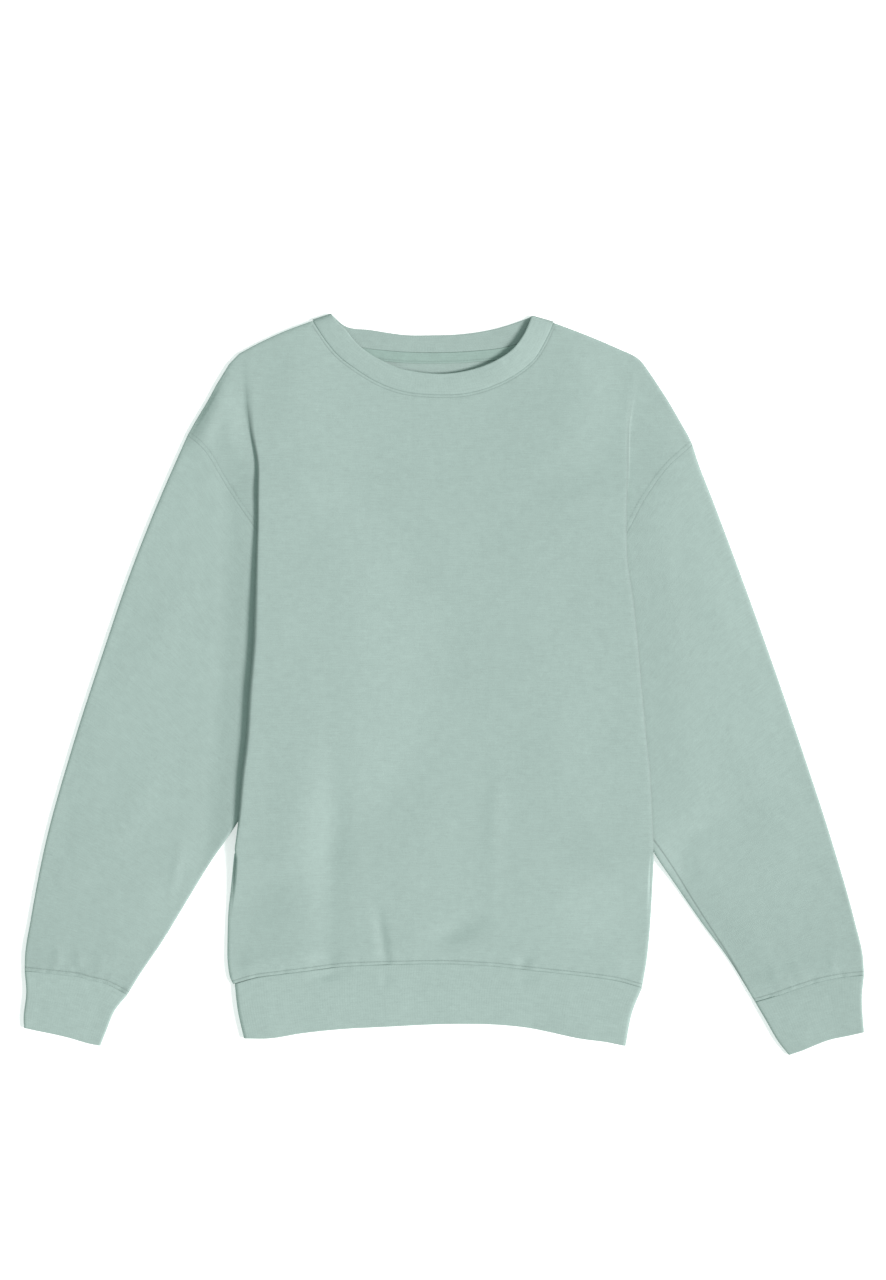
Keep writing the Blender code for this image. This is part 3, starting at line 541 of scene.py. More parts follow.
def ease(t):
    """0 to 1 with level ends."""
    t = np.clip(t, 0, 1)
    return t * t * (3 - 2 * t)


def round_nose(t):
    """The height of a full, rounded edge at the share t of its width."""
    return (1 - (1 - np.clip(t, 0, 1)) ** ROUNDNESS) ** (1 / ROUNDNESS)


def creased(x, y, creases):
    """The height that a table of creases adds at each point."""
    height = np.zeros(np.broadcast(x, y).shape)
    for cx, cy, half_length, half_width, degrees, bend, size in creases:
        c = math.cos(math.radians(degrees))
        s = math.sin(math.radians(degrees))
        along = ((x - cx) * c + (y - cy) * s) / half_length
        across = ((y - cy) * c - (x - cx) * s - bend * along ** 2) / half_width
        height = height + size * np.exp(-across ** 2) * (1 - ease(np.abs(along)))
    return height


def uneven(x, y):
    """The height of the cloth's slow unevenness at each point."""
    height = 0.0
    for wavelength, degrees, start, size in UNEVEN:
        turn = math.radians(degrees)
        across = x * math.cos(turn) + y * math.sin(turn)
        height = height + size * np.sin(math.tau / wavelength * across + start)
    return height


def waved(x, waves):
    """The height that a table of waves adds at x."""
    return sum(height * np.sin(x / length + start) for height, length, start in waves)


def from_line(x, y, line):
    """Each point's distance from a line of points, and how far along the line it is nearest."""
    p = np.stack((np.asarray(x, float).ravel(), np.asarray(y, float).ravel()), axis=1)
    a, b = line[:-1], line[1:]
    step = b - a
    length = np.linalg.norm(step, axis=1)
    start = np.concatenate(([0], np.cumsum(length)))[:-1]
    nearest = np.full(len(p), np.inf)
    along = np.zeros(len(p))
    for k in range(len(a)):
        t = np.clip((p - a[k]) @ step[k] / length[k] ** 2, 0, 1)
        d = np.linalg.norm(p - a[k] - t[:, None] * step[k], axis=1)
        closer = d < nearest
        nearest[closer] = d[closer]
        along[closer] = (start[k] + t * length[k])[closer]
    return nearest.reshape(np.shape(x)), along.reshape(np.shape(x))


# ---- the sides of the body ----

class Side:
    """One side of the garment. Its distances run outwards from the middle."""

    def __init__(self, name):
        self.name = name
        self.sign = -1 if name == "left" else 1
        wall = CLOTH / 2
        column = 1 if name == "left" else 2
        self.shoulder = moved_left(SHOULDER[name], -wall)
        self.sleeve_outer = smooth_path(moved_left(SLEEVE_OUTER[name], -wall))
        self.sleeve_inner = smooth_path(moved_left(SLEEVE_INNER[name], wall))
        self.edge = smooth_column(BODY_EDGE, 0, column)
        self.depth = smooth_column(PLEAT, 0, 1)
        self.turn = smooth_column(PLEAT, 0, column + 1)
        self.support = smooth_column(SUPPORT, 0, 1)
        self.sag = smooth_column(PLEAT_SAG, 0, 1)
        self.slack = smooth_column(SLACK, 0, 1)
        self.bend = smooth_column(FRONT_BEND, 0, column)
        self.armhole = smooth_column(ARMHOLE[name], 1, 0)
        self.tip_y = self.shoulder[-1][1]
        first, second = ARMHOLE[name][:2]
        self.cap_slope = (first[0] - second[0]) / (first[1] - second[1])
        outer = list(self.shoulder[3:]) + list(self.sleeve_outer(np.linspace(*OUTER_SHARES)))
        self.outline = smooth_column(outer, 1, 0)
        self.inner_edge = smooth_column(self.sleeve_inner(np.linspace(*INNER_SHARES)), 1, 0)
        self.cuff_y = smooth_column(CUFF_SEAM[name], 0, 1)
        self.hem_corner = HEM_SEAM[0 if name == "left" else -1][1]
        self.leaves_body = next(y for y in range(0, -300, -1) if self.inner_edge(y) > self.edge(y))
        self.upper_creases = UPPER_CREASES[name]
        self.lower_creases = LOWER_CREASES[name]

    def fold(self, y, radius, tucked=0.0):
        """The section of the pleat at y: where it starts, and how far out and down each stretch runs."""
        turn = self.turn(y)
        angle = math.pi * turn
        back = np.maximum(self.depth(y) - radius - INNER_FOLD, LEAST_RETURN)
        slack = self.slack(y)
        cloth = slack + (1 - slack) * turn
        first = radius * cloth / turn
        last = INNER_FOLD * cloth / turn
        outer = (first * np.sin(angle), first * (1 - np.cos(angle)))
        middle = (outer[0] + back * np.cos(angle), outer[1] + back * np.sin(angle))
        inner = (middle[0] + last * np.sin(angle), middle[1] + last * (1 - np.cos(angle)))
        reach = np.maximum(first * np.sin(np.minimum(angle, math.pi / 2)), middle[0])
        reach = np.where(y < ARMPIT_Y, np.maximum(reach, inner[0] + self.ridge(y)), reach)
        start = self.edge(y) - CLOTH / 2 - tucked * turn - reach
        return {"angle": angle, "first": first, "last": last, "outer": outer,
                "middle": middle, "inner": inner, "start": start, "drop": inner[1]}

    def ridge(self, y):
        """The width of the cloth between the hidden fold and the side seam."""
        clear = RIDGE - (RIDGE - RIDGE_BELOW) * ease((ARMPIT_Y - y) / RIDGE_RUN)
        return RIDGE_AT_HEM + (clear - RIDGE_AT_HEM) * self.turn(y) ** 2

    def flap_end(self, y):
        """Where the panel ends: the armhole seam, and below the armpit the side seam."""
        past_tip = np.maximum(y - self.tip_y, 0)
        closing = 1 - round_nose((y - ARMPIT_Y) / (self.tip_y - ARMPIT_Y) / NOSE)
        above = self.armhole(np.minimum(y, self.tip_y)) + past_tip * self.cap_slope
        above = above - closing * (CLOTH / 2 + SEAM_GAP)
        section = self.fold(y, self.bend(y))
        below = section["start"] + section["inner"][0] + self.ridge(y)
        return np.where(y >= ARMPIT_Y, above, below)

    def rise(self, x, y, run=SLEEVE_DROP):
        """How far a sleeve is lifted by the back's pleat at a point, coming down over the given run."""
        back = self.fold(y, BACK_FOLD, BACK_TUCKED)
        under = np.maximum(back["start"] + back["first"] * np.sin(np.minimum(back["angle"], math.pi / 2)),
                           back["start"] + back["inner"][0])
        return back["drop"] * (1 - ease((x - under - CLOTH) / run))

    def loft(self, x, y):
        """How far the upper layer stands off the lower one outside the body."""
        inside = np.where(y > self.leaves_body, self.edge(y), self.inner_edge(y))
        from_edge = EDGE_SHARE + (1 - EDGE_SHARE) * ease((self.outline(y) - x) / EDGE_RUN)
        from_cuff = ease((y - self.cuff_y(x)) / CUFF_RUN)
        sleeve = (CUFF_LOFT + (SLEEVE_LOFT - CUFF_LOFT) * from_cuff) * ease((x - inside) / LOFT_RUN)
        shoulder = ease((y - SHOULDER_RUN[0]) / (SHOULDER_RUN[1] - SHOULDER_RUN[0]))
        return from_edge * (sleeve * (1 - shoulder) + SHOULDER_LOFT * shoulder)

    def clear_of_body(self, x, y):
        """0 under the body's fold and at the sleeve's own edge, and 1 away from them."""
        beside = ease((x - self.edge(y)) / CREASE_MARGIN)
        return beside * ease((self.outline(y) - x) / EDGE_MARGIN)

    def low(self, x, y):
        """The height of the lower layer outside the body."""
        crease = creased(x, y, self.lower_creases) * self.clear_of_body(x, y)
        return FLOOR_LAYER + self.rise(x, y) + crease

    def high(self, x, y):
        """The height of the upper layer outside the body."""
        beside_body = ease((y - self.leaves_body) / DROP_CHANGE)
        run = SLEEVE_DROP + (UPPER_DROP[self.name] - SLEEVE_DROP) * beside_body
        above_floor = FLOOR_LAYER + self.rise(x, y, run) + LAYER + self.loft(x, y) + self.corner_lift(x, y)
        crease = creased(x, y, self.upper_creases) + uneven(x, y)
        return above_floor + crease * self.clear_of_body(x, y)

    def corner_lift(self, x, y):
        """How far the front's edge is raised to meet the hem band."""
        lift = CORNER_LIFT * (1 - ease((y - self.hem_corner) / CORNER_RUN))
        return np.where(x > self.edge(y), 0, lift)

    def cap(self, share):
        """Points of the armhole seam, from the shoulder tip to the armpit."""
        y = self.tip_y + (ARMPIT_Y - self.tip_y) * share
        return np.column_stack((self.armhole(y), y))

    def armhole_line(self):
        """The armhole seam as a line, with -X on the left."""
        return self.cap(np.linspace(0, 1, LINE_POINTS["armhole"])) * (self.sign, 1)


LEFT = Side("left")
RIGHT = Side("right")
SIDES = (LEFT, RIGHT)


# ---- spacing of the grids ----

def spaced(length, step, start=(), end=()):
    """Shares of a length: given distances from its start and its end, and even steps between."""
    first = start[-1] if start else 0.0
    last = end[-1] if end else 0.0
    count = max(round((length - first - last) / step), 1)
    middle = np.linspace(first, length - last, count + 1)
    distances = list(start[:-1]) + list(middle) + [length - d for d in reversed(end[:-1])]
    return np.array(distances) / length


NOSE_SHARES = tuple(NOSE * t for t in (0, 0.004, 0.02, 0.06, 0.13, 0.24, 0.38, 0.55, 0.75, 1))
CLOSE = (0, 0.15, 0.35, 0.6, 0.95, 1.4, 1.9, 2.4, 2.8, 3.3, 3.8, 4.4, 5.2, 6.4, 8, 10, 12.5, 15.5)
RIM_CLOSE = (0, 0.08, 0.25, 0.5, 0.8, 1.2, 1.8, 2.6)


def nosed(length, step):
    """Shares with a rounded edge at both ends."""
    inner = spaced(length * (1 - 2 * NOSE), step) * (1 - 2 * NOSE) + NOSE
    return np.concatenate((NOSE_SHARES[:-1], inner, 1 - np.array(NOSE_SHARES[-2::-1])))


# ---- the panels ----

class Panel:
    """The front (layer 1) or the back (layer -1), from one armhole seam across to the other."""

    def __init__(self, layer, neck_seam, creases, step):
        self.layer = layer
        self.creases = creases
        self.step = step
        self.neck = smooth_path(neck_seam)
        self.neck_line = self.neck(np.linspace(0, 1, LINE_POINTS["neck"]))
        self.neck_y = smooth_column(self.neck_line, 0, 1)
        self.neck_ends = (neck_seam[0][0], neck_seam[-1][0])
        self.hem_y = smooth_column(HEM_SEAM, 0, 1)
        self.shoulder_y = {s.name: smooth_column(s.shoulder, 0, 1) for s in SIDES}

    def section(self, side, y):
        """The section of this panel's pleat at y."""
        if self.layer < 0:
            return side.fold(y, BACK_FOLD, BACK_TUCKED)
        return side.fold(y, side.bend(y))

    def columns(self):
        """Every column from the left end to the right end: side, stretch and share of it."""
        side_columns = [(stretch, k / count) for stretch, count in FOLD_COLUMNS for k in range(count)]
        flap = spaced(FLAP_RUN, self.step * FLAP_STEP, end=CLOSE[:-3])
        side_columns += [("flap", share) for share in flap]
        left = [(LEFT, stretch, share) for stretch, share in reversed(side_columns)]
        right = [(RIGHT, stretch, share) for stretch, share in side_columns]
        return left + [(None, "top", share) for share in self.top_shares()] + right

    def top_shares(self):
        """Shares across the body, with a column at each end of the neck seam."""
        starts = [self.section(side, self.neck(k)[1])["start"] for k, side in enumerate(SIDES)]
        ends = [(x + starts[0]) / sum(starts) for x in self.neck_ends]
        outside = max(round(BESIDE_NECK / self.step), LEAST_BESIDE_NECK)
        across = round((self.neck_ends[1] - self.neck_ends[0]) / self.step)
        left = np.linspace(0, ends[0], outside + 1)[1:-1]
        neck = np.linspace(ends[0], ends[1], across + 1)
        right = np.linspace(ends[1], 1, outside + 1)[1:-1]
        return np.concatenate((left, neck, right))

    def body_height(self, x, y):
        """The height of the panel between its two folds."""
        if self.layer < 0:
            return FLOOR_LAYER + creased(x, y, self.creases)
        height = 0.0
        clear = 1.0
        pushed = self.blouse(x, y)
        moved = self.unevenness(x, y)
        for side in SIDES:
            end = self.section(side, y)
            inwards = end["start"] - side.sign * x
            pushed = pushed * ease(inwards / BLOUSE_ENDS)
            moved = moved * ease(inwards / CALM_RUN)
            near = 1 - ease((inwards - side.support(y)) / side.sag(y))
            at_fold = side.high(end["start"] + end["inner"][0], y) + end["drop"]
            height = height + near * at_fold
            clear = clear - near
        height = height + clear * (FLOOR_LAYER + LAYER + self.body_loft(x, y))
        return height + pushed + moved + creased(x, y, self.creases)

    def body_loft(self, x, y):
        """How far the front stands off the back, away from the folds."""
        x, y = np.broadcast_arrays(x, y)
        away = self.neck_line.T.reshape(2, -1, *[1] * x.ndim)
        from_neck = np.hypot(away[0] - x, away[1] - y).min(axis=0)
        from_rib = np.minimum(np.minimum(from_neck, self.neck_line[-1][1] - y), y - self.hem_y(x))
        return BODY_LOFT + (CHEST_LOFT - BODY_LOFT) * ease(from_rib / CHEST_RUN)

    def unevenness(self, x, y):
        """The cloth's unevenness, which ends at the ribs."""
        from_rib = np.minimum(self.neck_y(x) - y, y - self.hem_y(x))
        return uneven(x, y) * ease(from_rib / CALM_FROM_RIB)

    def blouse(self, x, y):
        """The height of the cloth that is pushed up above the hem band."""
        above = y - self.hem_y(x) - BLOUSE_FROM_SEAM
        return HEM_BLOUSE * np.exp(-(above / BLOUSE_WIDTH) ** 2)

    def point(self, column, y):
        """x and height of a column at each y, before the edges are rounded."""
        side, stretch, share = column
        if stretch == "top":
            starts = [self.section(side, y)["start"] for side in SIDES]
            x = (1 - share) * -starts[0] + share * starts[1]
            return x, self.body_height(x, y)
        section = self.section(side, y)
        angle = section["angle"]
        flap = section["start"] + section["inner"][0]
        if stretch == "flap":
            x = self.flap_x(side, flap, share, y)
            return side.sign * x, self.level(side, x, y)
        if stretch == "outer":
            out = section["first"] * np.sin(angle * share)
            down = section["first"] * (1 - np.cos(angle * share))
        elif stretch == "middle":
            out, down = np.array(section["outer"]) * (1 - share) + np.array(section["middle"]) * share
        else:
            left = angle * (1 - share)
            out = section["middle"][0] + section["last"] * (np.sin(angle) - np.sin(left))
            down = section["middle"][1] + section["last"] * (np.cos(left) - np.cos(angle))
        height = self.level(side, flap, y) + self.layer * (section["drop"] - down)
        x = side.sign * (section["start"] + out)
        if self.layer > 0:
            fade = 1 - down / np.maximum(section["drop"], 1e-6)
            height = height + fade * (self.body_height(side.sign * section["start"], y)
                                      - self.level(side, flap, y) - section["drop"])
        return x, height

    @staticmethod
    def flap_x(side, flap, share, y):
        """Columns keep their distance from the seam over the last stretch of the flap."""
        width = side.flap_end(y) - flap
        near = np.minimum(width * 0.5, FLAP_NEAR)
        left = (1 - share) * FLAP_RUN
        from_seam = np.where(left < FLAP_NEAR, left / FLAP_NEAR * near,
                             near + (width - near) * (left - FLAP_NEAR) / (FLAP_RUN - FLAP_NEAR))
        return side.flap_end(y) - from_seam

    def level(self, side, x, y):
        """The height of this panel's layer outside the body."""
        return side.high(x, y) if self.layer > 0 else side.low(x, y)

    def top_y(self, column):
        """Where a column meets the neck seam or the shoulder."""
        y = np.linspace(*TOP_SEARCH)
        over = y - self.boundary(self.point(column, y)[0])
        k = int(np.argmax(over > 0))
        return y[k - 1] + (y[k] - y[k - 1]) * -over[k - 1] / (over[k] - over[k - 1])

    def boundary(self, x):
        """The y of the panel's upper edge: the shoulders and the neck seam between them."""
        inside = (x > self.neck_ends[0]) & (x < self.neck_ends[1])
        shoulder = np.where(x < 0, self.shoulder_y["left"](-x), self.shoulder_y["right"](x))
        return np.where(inside, self.neck_y(x), shoulder)

    def rows(self):
        """Shares of the run from the upper edge to the armpit, and of the run on to the hem."""
        step = self.step * ROW_STEP
        above = nosed(ABOVE_RUN, step)
        close = spaced(ABOVE_RUN, step, start=CLOSE)
        seam = CLOSE[-1] / ABOVE_RUN
        above = np.unique(np.concatenate((above[above > seam], close[close <= seam], NOSE_SHARES[:5])))
        keep = np.concatenate(([True], np.diff(above) > SAME_ROW))
        below = spaced(BELOW_RUN, step, end=CLOSE)
        return above[keep], below[below > BELOW_STARTS]

    def surface(self):
        """The grid of the panel, each point's share of the wall's thickness, and its painted shade."""
        above, below = self.rows()
        share = np.concatenate((above, np.ones(len(below))))
        columns = self.columns()
        first_y, rounds = HEM_SEARCH
        points = np.zeros((len(columns), len(above) + len(below), 3))
        weights = np.zeros(points.shape[:2])
        painted_shades = np.zeros(points.shape[:2])
        for i, column in enumerate(columns):
            top = self.top_y(column)
            y_above = top + (ARMPIT_Y - top) * above
            x = float(self.point(column, np.array(first_y))[0])
            for _ in range(rounds):
                y_below = ARMPIT_Y + (self.hem_y(x) + SEAM_GAP - ARMPIT_Y) * below
                x = self.point(column, y_below)[0]
            y = np.concatenate((y_above, y_below))
            x, z = self.point(column, y)
            z = self.rounded(column, x, y, z, share)
            z, weights[i], painted_shades[i] = self.seamed(column, x, y, z)
            points[i] = np.column_stack((x, y, z))
        return points, weights, painted_shades

    def rounded(self, column, x, y, z, share):
        """Brings the wall down to meet the other panel along the shoulders and the side seams."""
        side, stretch, _ = column
        above = share < 1
        half_gap = self.layer * SHOULDER_GAP / 2
        full = np.where(above, round_nose(share / NOSE), 1)
        inside = (x > self.neck_ends[0]) & (x < self.neck_ends[1])
        full = np.where(inside & above, np.maximum(full, neck_rise(x)), full)
        middle = shoulder_middle(x, y) + half_gap
        z = middle + (z - middle) * full
        if stretch != "top":
            end = side.flap_end(y)
            closed = np.where(y > ARMPIT_Y, 1 - round_nose((1 - share) / NOSE), 1)
            flat = 1.0 if stretch == "flap" else 1 - ease(side.turn(y) / FLAT_TURN)
            open_edge = closed * flat * (1 - round_nose((end - np.abs(x)) / FOLD_RIM))
            middle = (side.high(end, y) + side.low(end, y)) / 2 + half_gap * closed
            z = middle + (z - middle) * (1 - open_edge)
        return z

    def seamed(self, column, x, y, z):
        """Rolls seamed edges in, dents the cloth along the topstitching, puckers it a little and paints
        shade on seams and fold.
        """
        side, stretch, share = column
        seams = [("hem", HEM_LINE)]
        if stretch == "top":
            seams.append(("neck" if self.layer > 0 else "neck_back", self.neck_line))
        if stretch == "flap":
            seams.append(("armhole", side.armhole_line()))
        wall = np.ones(len(x))
        painted_shade = np.zeros(len(x))
        for seam, line in seams:
            distance, along = from_line(x, y, line)
            parted = neck_rise(x) if seam.startswith("neck") else 1
            z = z - self.layer * seam_dip(seam, distance, along, self.layer) * parted
            wall = np.minimum(wall, seam_rim(seam, distance))
            painted_shade = np.maximum(painted_shade, seam_painted_shade(seam, distance))
        # painted shade round the front's fold: it takes out the bright rim that the key light gives it, and
        # darkens its shaded side
        if self.layer > 0 and stretch in ("outer", "middle"):
            turned = side.turn(y) * (1.0 if stretch == "middle" else share)
            beside_sleeve = ease((y - side.leaves_body) / FOLD_SHADE_ENDS + 1)
            painted_shade = np.maximum(painted_shade, PAINTED_FOLD_SHADE * beside_sleeve * ease(turned / FOLD_SHADE_TURN))
        return z, wall, painted_shade

    def outer_height(self, x, y):
        """The height of the panel's outermost stretch over a point near the shoulder."""
        height = self.body_height(x, y)
        for side in SIDES:
            out = side.sign * x
            start = self.section(side, y)["start"]
            height = np.where(out > start, self.level(side, out, y), height)
        return height


def seam_dip(seam, distance, along, layer=1, stitched=True):
    """How far the cloth is pulled in near a seam and its topstitching."""
    stitch, pucker, depth = SEAMS[seam][:3]
    pull = SEAM_ROLL * np.exp(-(distance / ROLL_WIDTH) ** 2)
    if stitched:
        pull = pull + STITCH_DENT * np.exp(-((distance - stitch) / DENT_WIDTH) ** 2)
    ripple = sum(share * np.sin(math.tau * along / wavelength + 3 * layer + wavelength)
                 for wavelength, share in PUCKERS)
    near = np.exp(-(distance / PUCKER_WIDTH) ** 2)
    return depth * pull + pucker * near * (ripple if layer > 0 else np.maximum(ripple, 0))


def seam_painted_shade(seam, distance, stitched=True):
    """How much painted shade a point gets from the nearest line of a seam, from 0 to 1."""
    stitch, _, _, seam_shade, stitch_shade = SEAMS[seam]
    painted_shade = seam_shade * np.exp(-(distance / PAINTED_SHADE_WIDTH) ** 2)
    if stitched:
        painted_shade = painted_shade + stitch_shade * np.exp(-((distance - stitch) / PAINTED_SHADE_WIDTH) ** 2)
    return painted_shade


def seam_rim(seam, distance):
    """The share of the wall's thickness beside a seam."""
    return rim(distance, least=1 - (1 - RIM_LEAST) * SEAMS[seam][2])


def rim(distance, radius=RIM_RADIUS, least=RIM_LEAST):
    """The share of the wall's thickness at a distance from its rounded rim."""
    inwards = 1 - np.clip(distance / radius, 0, 1)
    return least + (1 - least) * np.sqrt(1 - inwards ** 2)


def neck_rise(x):
    """How far the layers have parted at x along the neck seam, from 0 at its ends to 1."""
    from_end = np.minimum(x - NECK_SEAM_FRONT[0][0], NECK_SEAM_FRONT[-1][0] - x)
    return round_nose(from_end / JUNCTION_RISE)


def shoulder_middle(x, y):
    """Half way between the front and the back along the shoulders."""
    return (FRONT.outer_height(x, y) + BACK.outer_height(x, y)) / 2


FRONT = Panel(1, NECK_SEAM_FRONT, FRONT_CREASES, FRONT_STEP)
BACK = Panel(-1, NECK_SEAM_BACK, BACK_CREASES, BACK_STEP)
HEM_X = np.linspace(HEM_SEAM[0][0], HEM_SEAM[-1][0], LINE_POINTS["hem"])
HEM_LINE = np.column_stack((HEM_X, FRONT.hem_y(HEM_X)))


# ---- tubes: sleeves, cuffs, hem band and neckband ----

def flattened_tube(upper, lower, heights, rise):
    """A closed grid from a front half and a back half that meet at both edges.

    upper and lower are points at each share across and down, heights gives both levels over the
    points of a half, and rise is how far the two halves have parted at each share across."""
    halves = []
    for half, on_top in ((upper, True), (lower[::-1][1:], False)):
        x, y = half[..., 0], half[..., 1]
        high, low = heights(x, y)
        middle = (high + low) / 2
        parted = (rise if on_top else rise[::-1][1:])[:, None]
        z = middle + ((high if on_top else low) - middle) * parted
        halves.append(np.stack((x, y, z), axis=2))
    return np.concatenate(halves)


def even_rise(shares, nose):
    """Both edges of a tube rounded over the same share of its width."""
    return round_nose(shares / nose) * round_nose((1 - shares) / nose)


def both_sides(rows):
    """A row's values for the front half and the back half of a tube."""
    return np.concatenate((rows, rows[::-1][1:]))


def sleeve(side):
    """A sleeve: across it from the shoulder's end to the armpit, and down it to the cuff."""
    width, length = SLEEVE_SIZE
    step_across, step_down = SLEEVE_STEPS
    across = np.concatenate((nosed(width, step_across), np.linspace(*UNDERARM_COLUMNS)))
    across = np.unique(across)
    down = spaced(length, step_down, start=CLOSE, end=CLOSE)
    gap = side.sleeve_outer(SLEEVE_START) - side.sleeve_outer(0.0)
    gap = gap / np.linalg.norm(gap) * SEAM_GAP * 2
    cuff_seam = smooth_path(CUFF_SEAM[side.name])
    plan = patch(side.cap(across), cuff_seam(across),
                 side.sleeve_outer(down), side.sleeve_inner(down), across, down)
    plan = plan + gap * (1 - down[None, :, None])

    def from_seam(seam, path):
        """Each point's distance from a seam, and how far along it."""
        return from_line(plan[..., 0], plan[..., 1], path(np.linspace(0, 1, LINE_POINTS[seam])))

    from_cap, along_cap = from_seam("armhole", side.cap)
    from_cuff, along_cuff = from_seam("cuff", cuff_seam)
    painted_shade = np.maximum(seam_painted_shade("armhole", from_cap, False), seam_painted_shade("cuff", from_cuff))
    groove = 0 * painted_shade
    if side.name in UNDERARM:
        from_underarm = from_seam("underarm", smooth_path(UNDERARM[side.name]))[0]
        groove = np.exp(-(from_underarm / UNDERARM_WIDTH) ** 2)

    def heights(x, y):
        blouse = CUFF_BLOUSE * np.exp(-((1 - down) / CUFF_BLOUSE_SHARE - 1) ** 2)[None, :]
        dips = [seam_dip("armhole", from_cap, along_cap, layer, False)
                + seam_dip("cuff", from_cuff, along_cuff, layer) for layer in (1, -1)]
        dips[0] = dips[0] + UNDERARM_DENT * groove
        if len(x) < len(across):
            dips = [dip[::-1][1:] for dip in dips]
        return side.high(x, y) + blouse - dips[0], side.low(x, y) + dips[1]

    points = flattened_tube(plan, plan, heights, even_rise(across, NOSE))
    wall = np.minimum(seam_rim("armhole", from_cap), seam_rim("cuff", from_cuff))
    # painted shade along the underarm seam, on the sleeve's upper half
    painted_shades = np.concatenate((np.maximum(painted_shade, UNDERARM_PAINTED_SHADE * groove), painted_shade[::-1][1:]))
    return points * (side.sign, 1, 1), both_sides(wall), painted_shades


def side_path(points, first, inset):
    """The side of a rib band: moved in from its outer face, and down to the band's own first point."""
    moved = moved_left(points, inset)
    moved[0] += np.array(first) - np.array(points[0])
    return smooth_path(moved)


def band_rows(length):
    """Shares down a rib band: close together at the seam and round the fold of its free edge."""
    return spaced(length, BAND_STEP, start=RIM_CLOSE, end=RIM_CLOSE)


def band_wall(seam, down, length):
    """The wall's share down a band: rounded at the seam, and right round at the folded edge."""
    return np.minimum(seam_rim(seam, down * length), rim((1 - down) * length, RIB / 2, FOLDED_RIM))


def band_swell(seam, down, length):
    """A rib band stands a little proud between its seam and its folded edge."""
    rolled = SEAMS[seam][2] * SEAM_ROLL * np.exp(-(down * length / ROLL_WIDTH) ** 2)
    return RIB_SWELL * np.sin(math.pi * down ** 0.8) - rolled


def band_parts(seam, points, down, length):
    """A band's grid with the wall's share and the painted seam shade of each point."""
    rows = points.shape[:2]
    wall = np.broadcast_to(band_wall(seam, down, length), rows)
    return points, wall, np.broadcast_to(seam_painted_shade(seam, down * length, False), rows)


def band_heights(seam, room, down, length, waves, creases=()):
    """Both levels of a doubled rib band that lies on the floor."""
    def heights(x, y):
        upper = RIB * 1.5 + room + band_swell(seam, down, length)[None, :] + waved(x, waves) * down[None, :]
        return upper + creased(x, y, creases), RIB / 2 + 0 * x

    return heights


def cuff(side):
    """A cuff: across it from its outer to its inner edge, and down it to its folded edge."""
    width, length = CUFF_SIZE
    across = nosed(width, CUFF_STEP)
    down = band_rows(length)
    seam = moved_left(CUFF_SEAM[side.name], SEAM_GAP * 1.5)
    outer = side_path(CUFF_OUTER[side.name], seam[0], -RIB / 2)
    inner = side_path(CUFF_INNER[side.name], seam[-1], RIB / 2)
    plan = patch(smooth_path(seam)(across), smooth_path(CUFF_END[side.name])(across),
                 outer(down), inner(down), across, down)
    heights = band_heights("cuff", CUFF_ROOM, down, length, CUFF_WAVES[side.name])
    points = flattened_tube(plan, plan, heights, even_rise(across, NOSE))
    points, wall, painted_shades = band_parts("cuff", points * (side.sign, 1, 1), down, length)
    # painted shade over the whole right cuff
    return points, wall, np.maximum(painted_shades, PAINTED_CUFF_SHADE[side.name])


def hem_band():
    """The hem band, from left to right and down to its folded edge."""
    left, right = HEM_SEAM[0][0], HEM_SEAM[-1][0]
    nose = NOSE / 2
    across = np.array([s / 2 for s in NOSE_SHARES])
    across = np.concatenate((across[:-1], np.linspace(nose, 1 - nose, HEM_COLUMNS), 1 - across[-2::-1]))
    down = band_rows(HEM_DEPTH)
    x = left + (right - left) * across
    top = np.column_stack((x, FRONT.hem_y(x) - SEAM_GAP))
    start = side_path(HEM_LEFT, top[0], RIB / 2)(down)
    end = side_path(HEM_RIGHT, top[-1], -RIB / 2)(down)
    plan = patch(top, smooth_path(HEM_END)(across), start, end, across, down)
    heights = band_heights("hem", HEM_ROOM, down, HEM_DEPTH, HEM_WAVES, BAND_CREASES)
    points = flattened_tube(plan, plan, heights, even_rise(across, nose))
    return band_parts("hem", points, down, HEM_DEPTH)


def neckband():
    """The neckband. Its seam edge follows the panels' own points along the neck."""
    down = band_rows(NECKBAND_DEPTH)
    across = np.linspace(0, 1, NECKBAND_COLUMNS + 1)
    corners = []
    for k in (0, -1):
        seam, edge = np.array(NECK_SEAM_FRONT[k]), np.array(NECK_EDGE_FRONT[k])
        corners.append((seam + (edge - seam) * NECK_END_GAP, edge))
    sides = [smooth_path(corner)(down) for corner in corners]
    halves = []
    for panel, edge in ((FRONT, NECK_EDGE_FRONT), (BACK, NECK_EDGE_BACK)):
        seam = moved_left(panel.neck(across), SEAM_GAP * 1.5)
        seam[0], seam[-1] = corners[0][0], corners[1][0]
        halves.append(patch(seam, smooth_path(edge)(across), *sides, across, down))
    flare = BAND_FLARE * np.exp(-((across - FLARE_AT) / FLARE_WIDTH) ** 2)

    def heights(x, y):
        on_top = flare if len(x) == len(flare) else flare[::-1][1:]
        lift = (BAND_LIFT + on_top[:, None]) * down + band_swell("neck", down, NECKBAND_DEPTH)
        return FLOOR_LAYER + LAYER + BODY_LOFT + lift, RIB / 2 + 0 * x

    points = flattened_tube(*halves, heights, neck_rise(FRONT.neck(across)[:, 0]))
    points, wall, painted_shades = band_parts("neck", points, down, NECKBAND_DEPTH)
    inside = np.arange(len(points))[:, None] > NECKBAND_COLUMNS
    wall = np.where(inside, band_wall("neck_back", down, NECKBAND_DEPTH), wall)
    # painted shade over the neckband's inner half
    return points, wall, np.where(inside, PAINTED_INSIDE_SHADE, painted_shades)


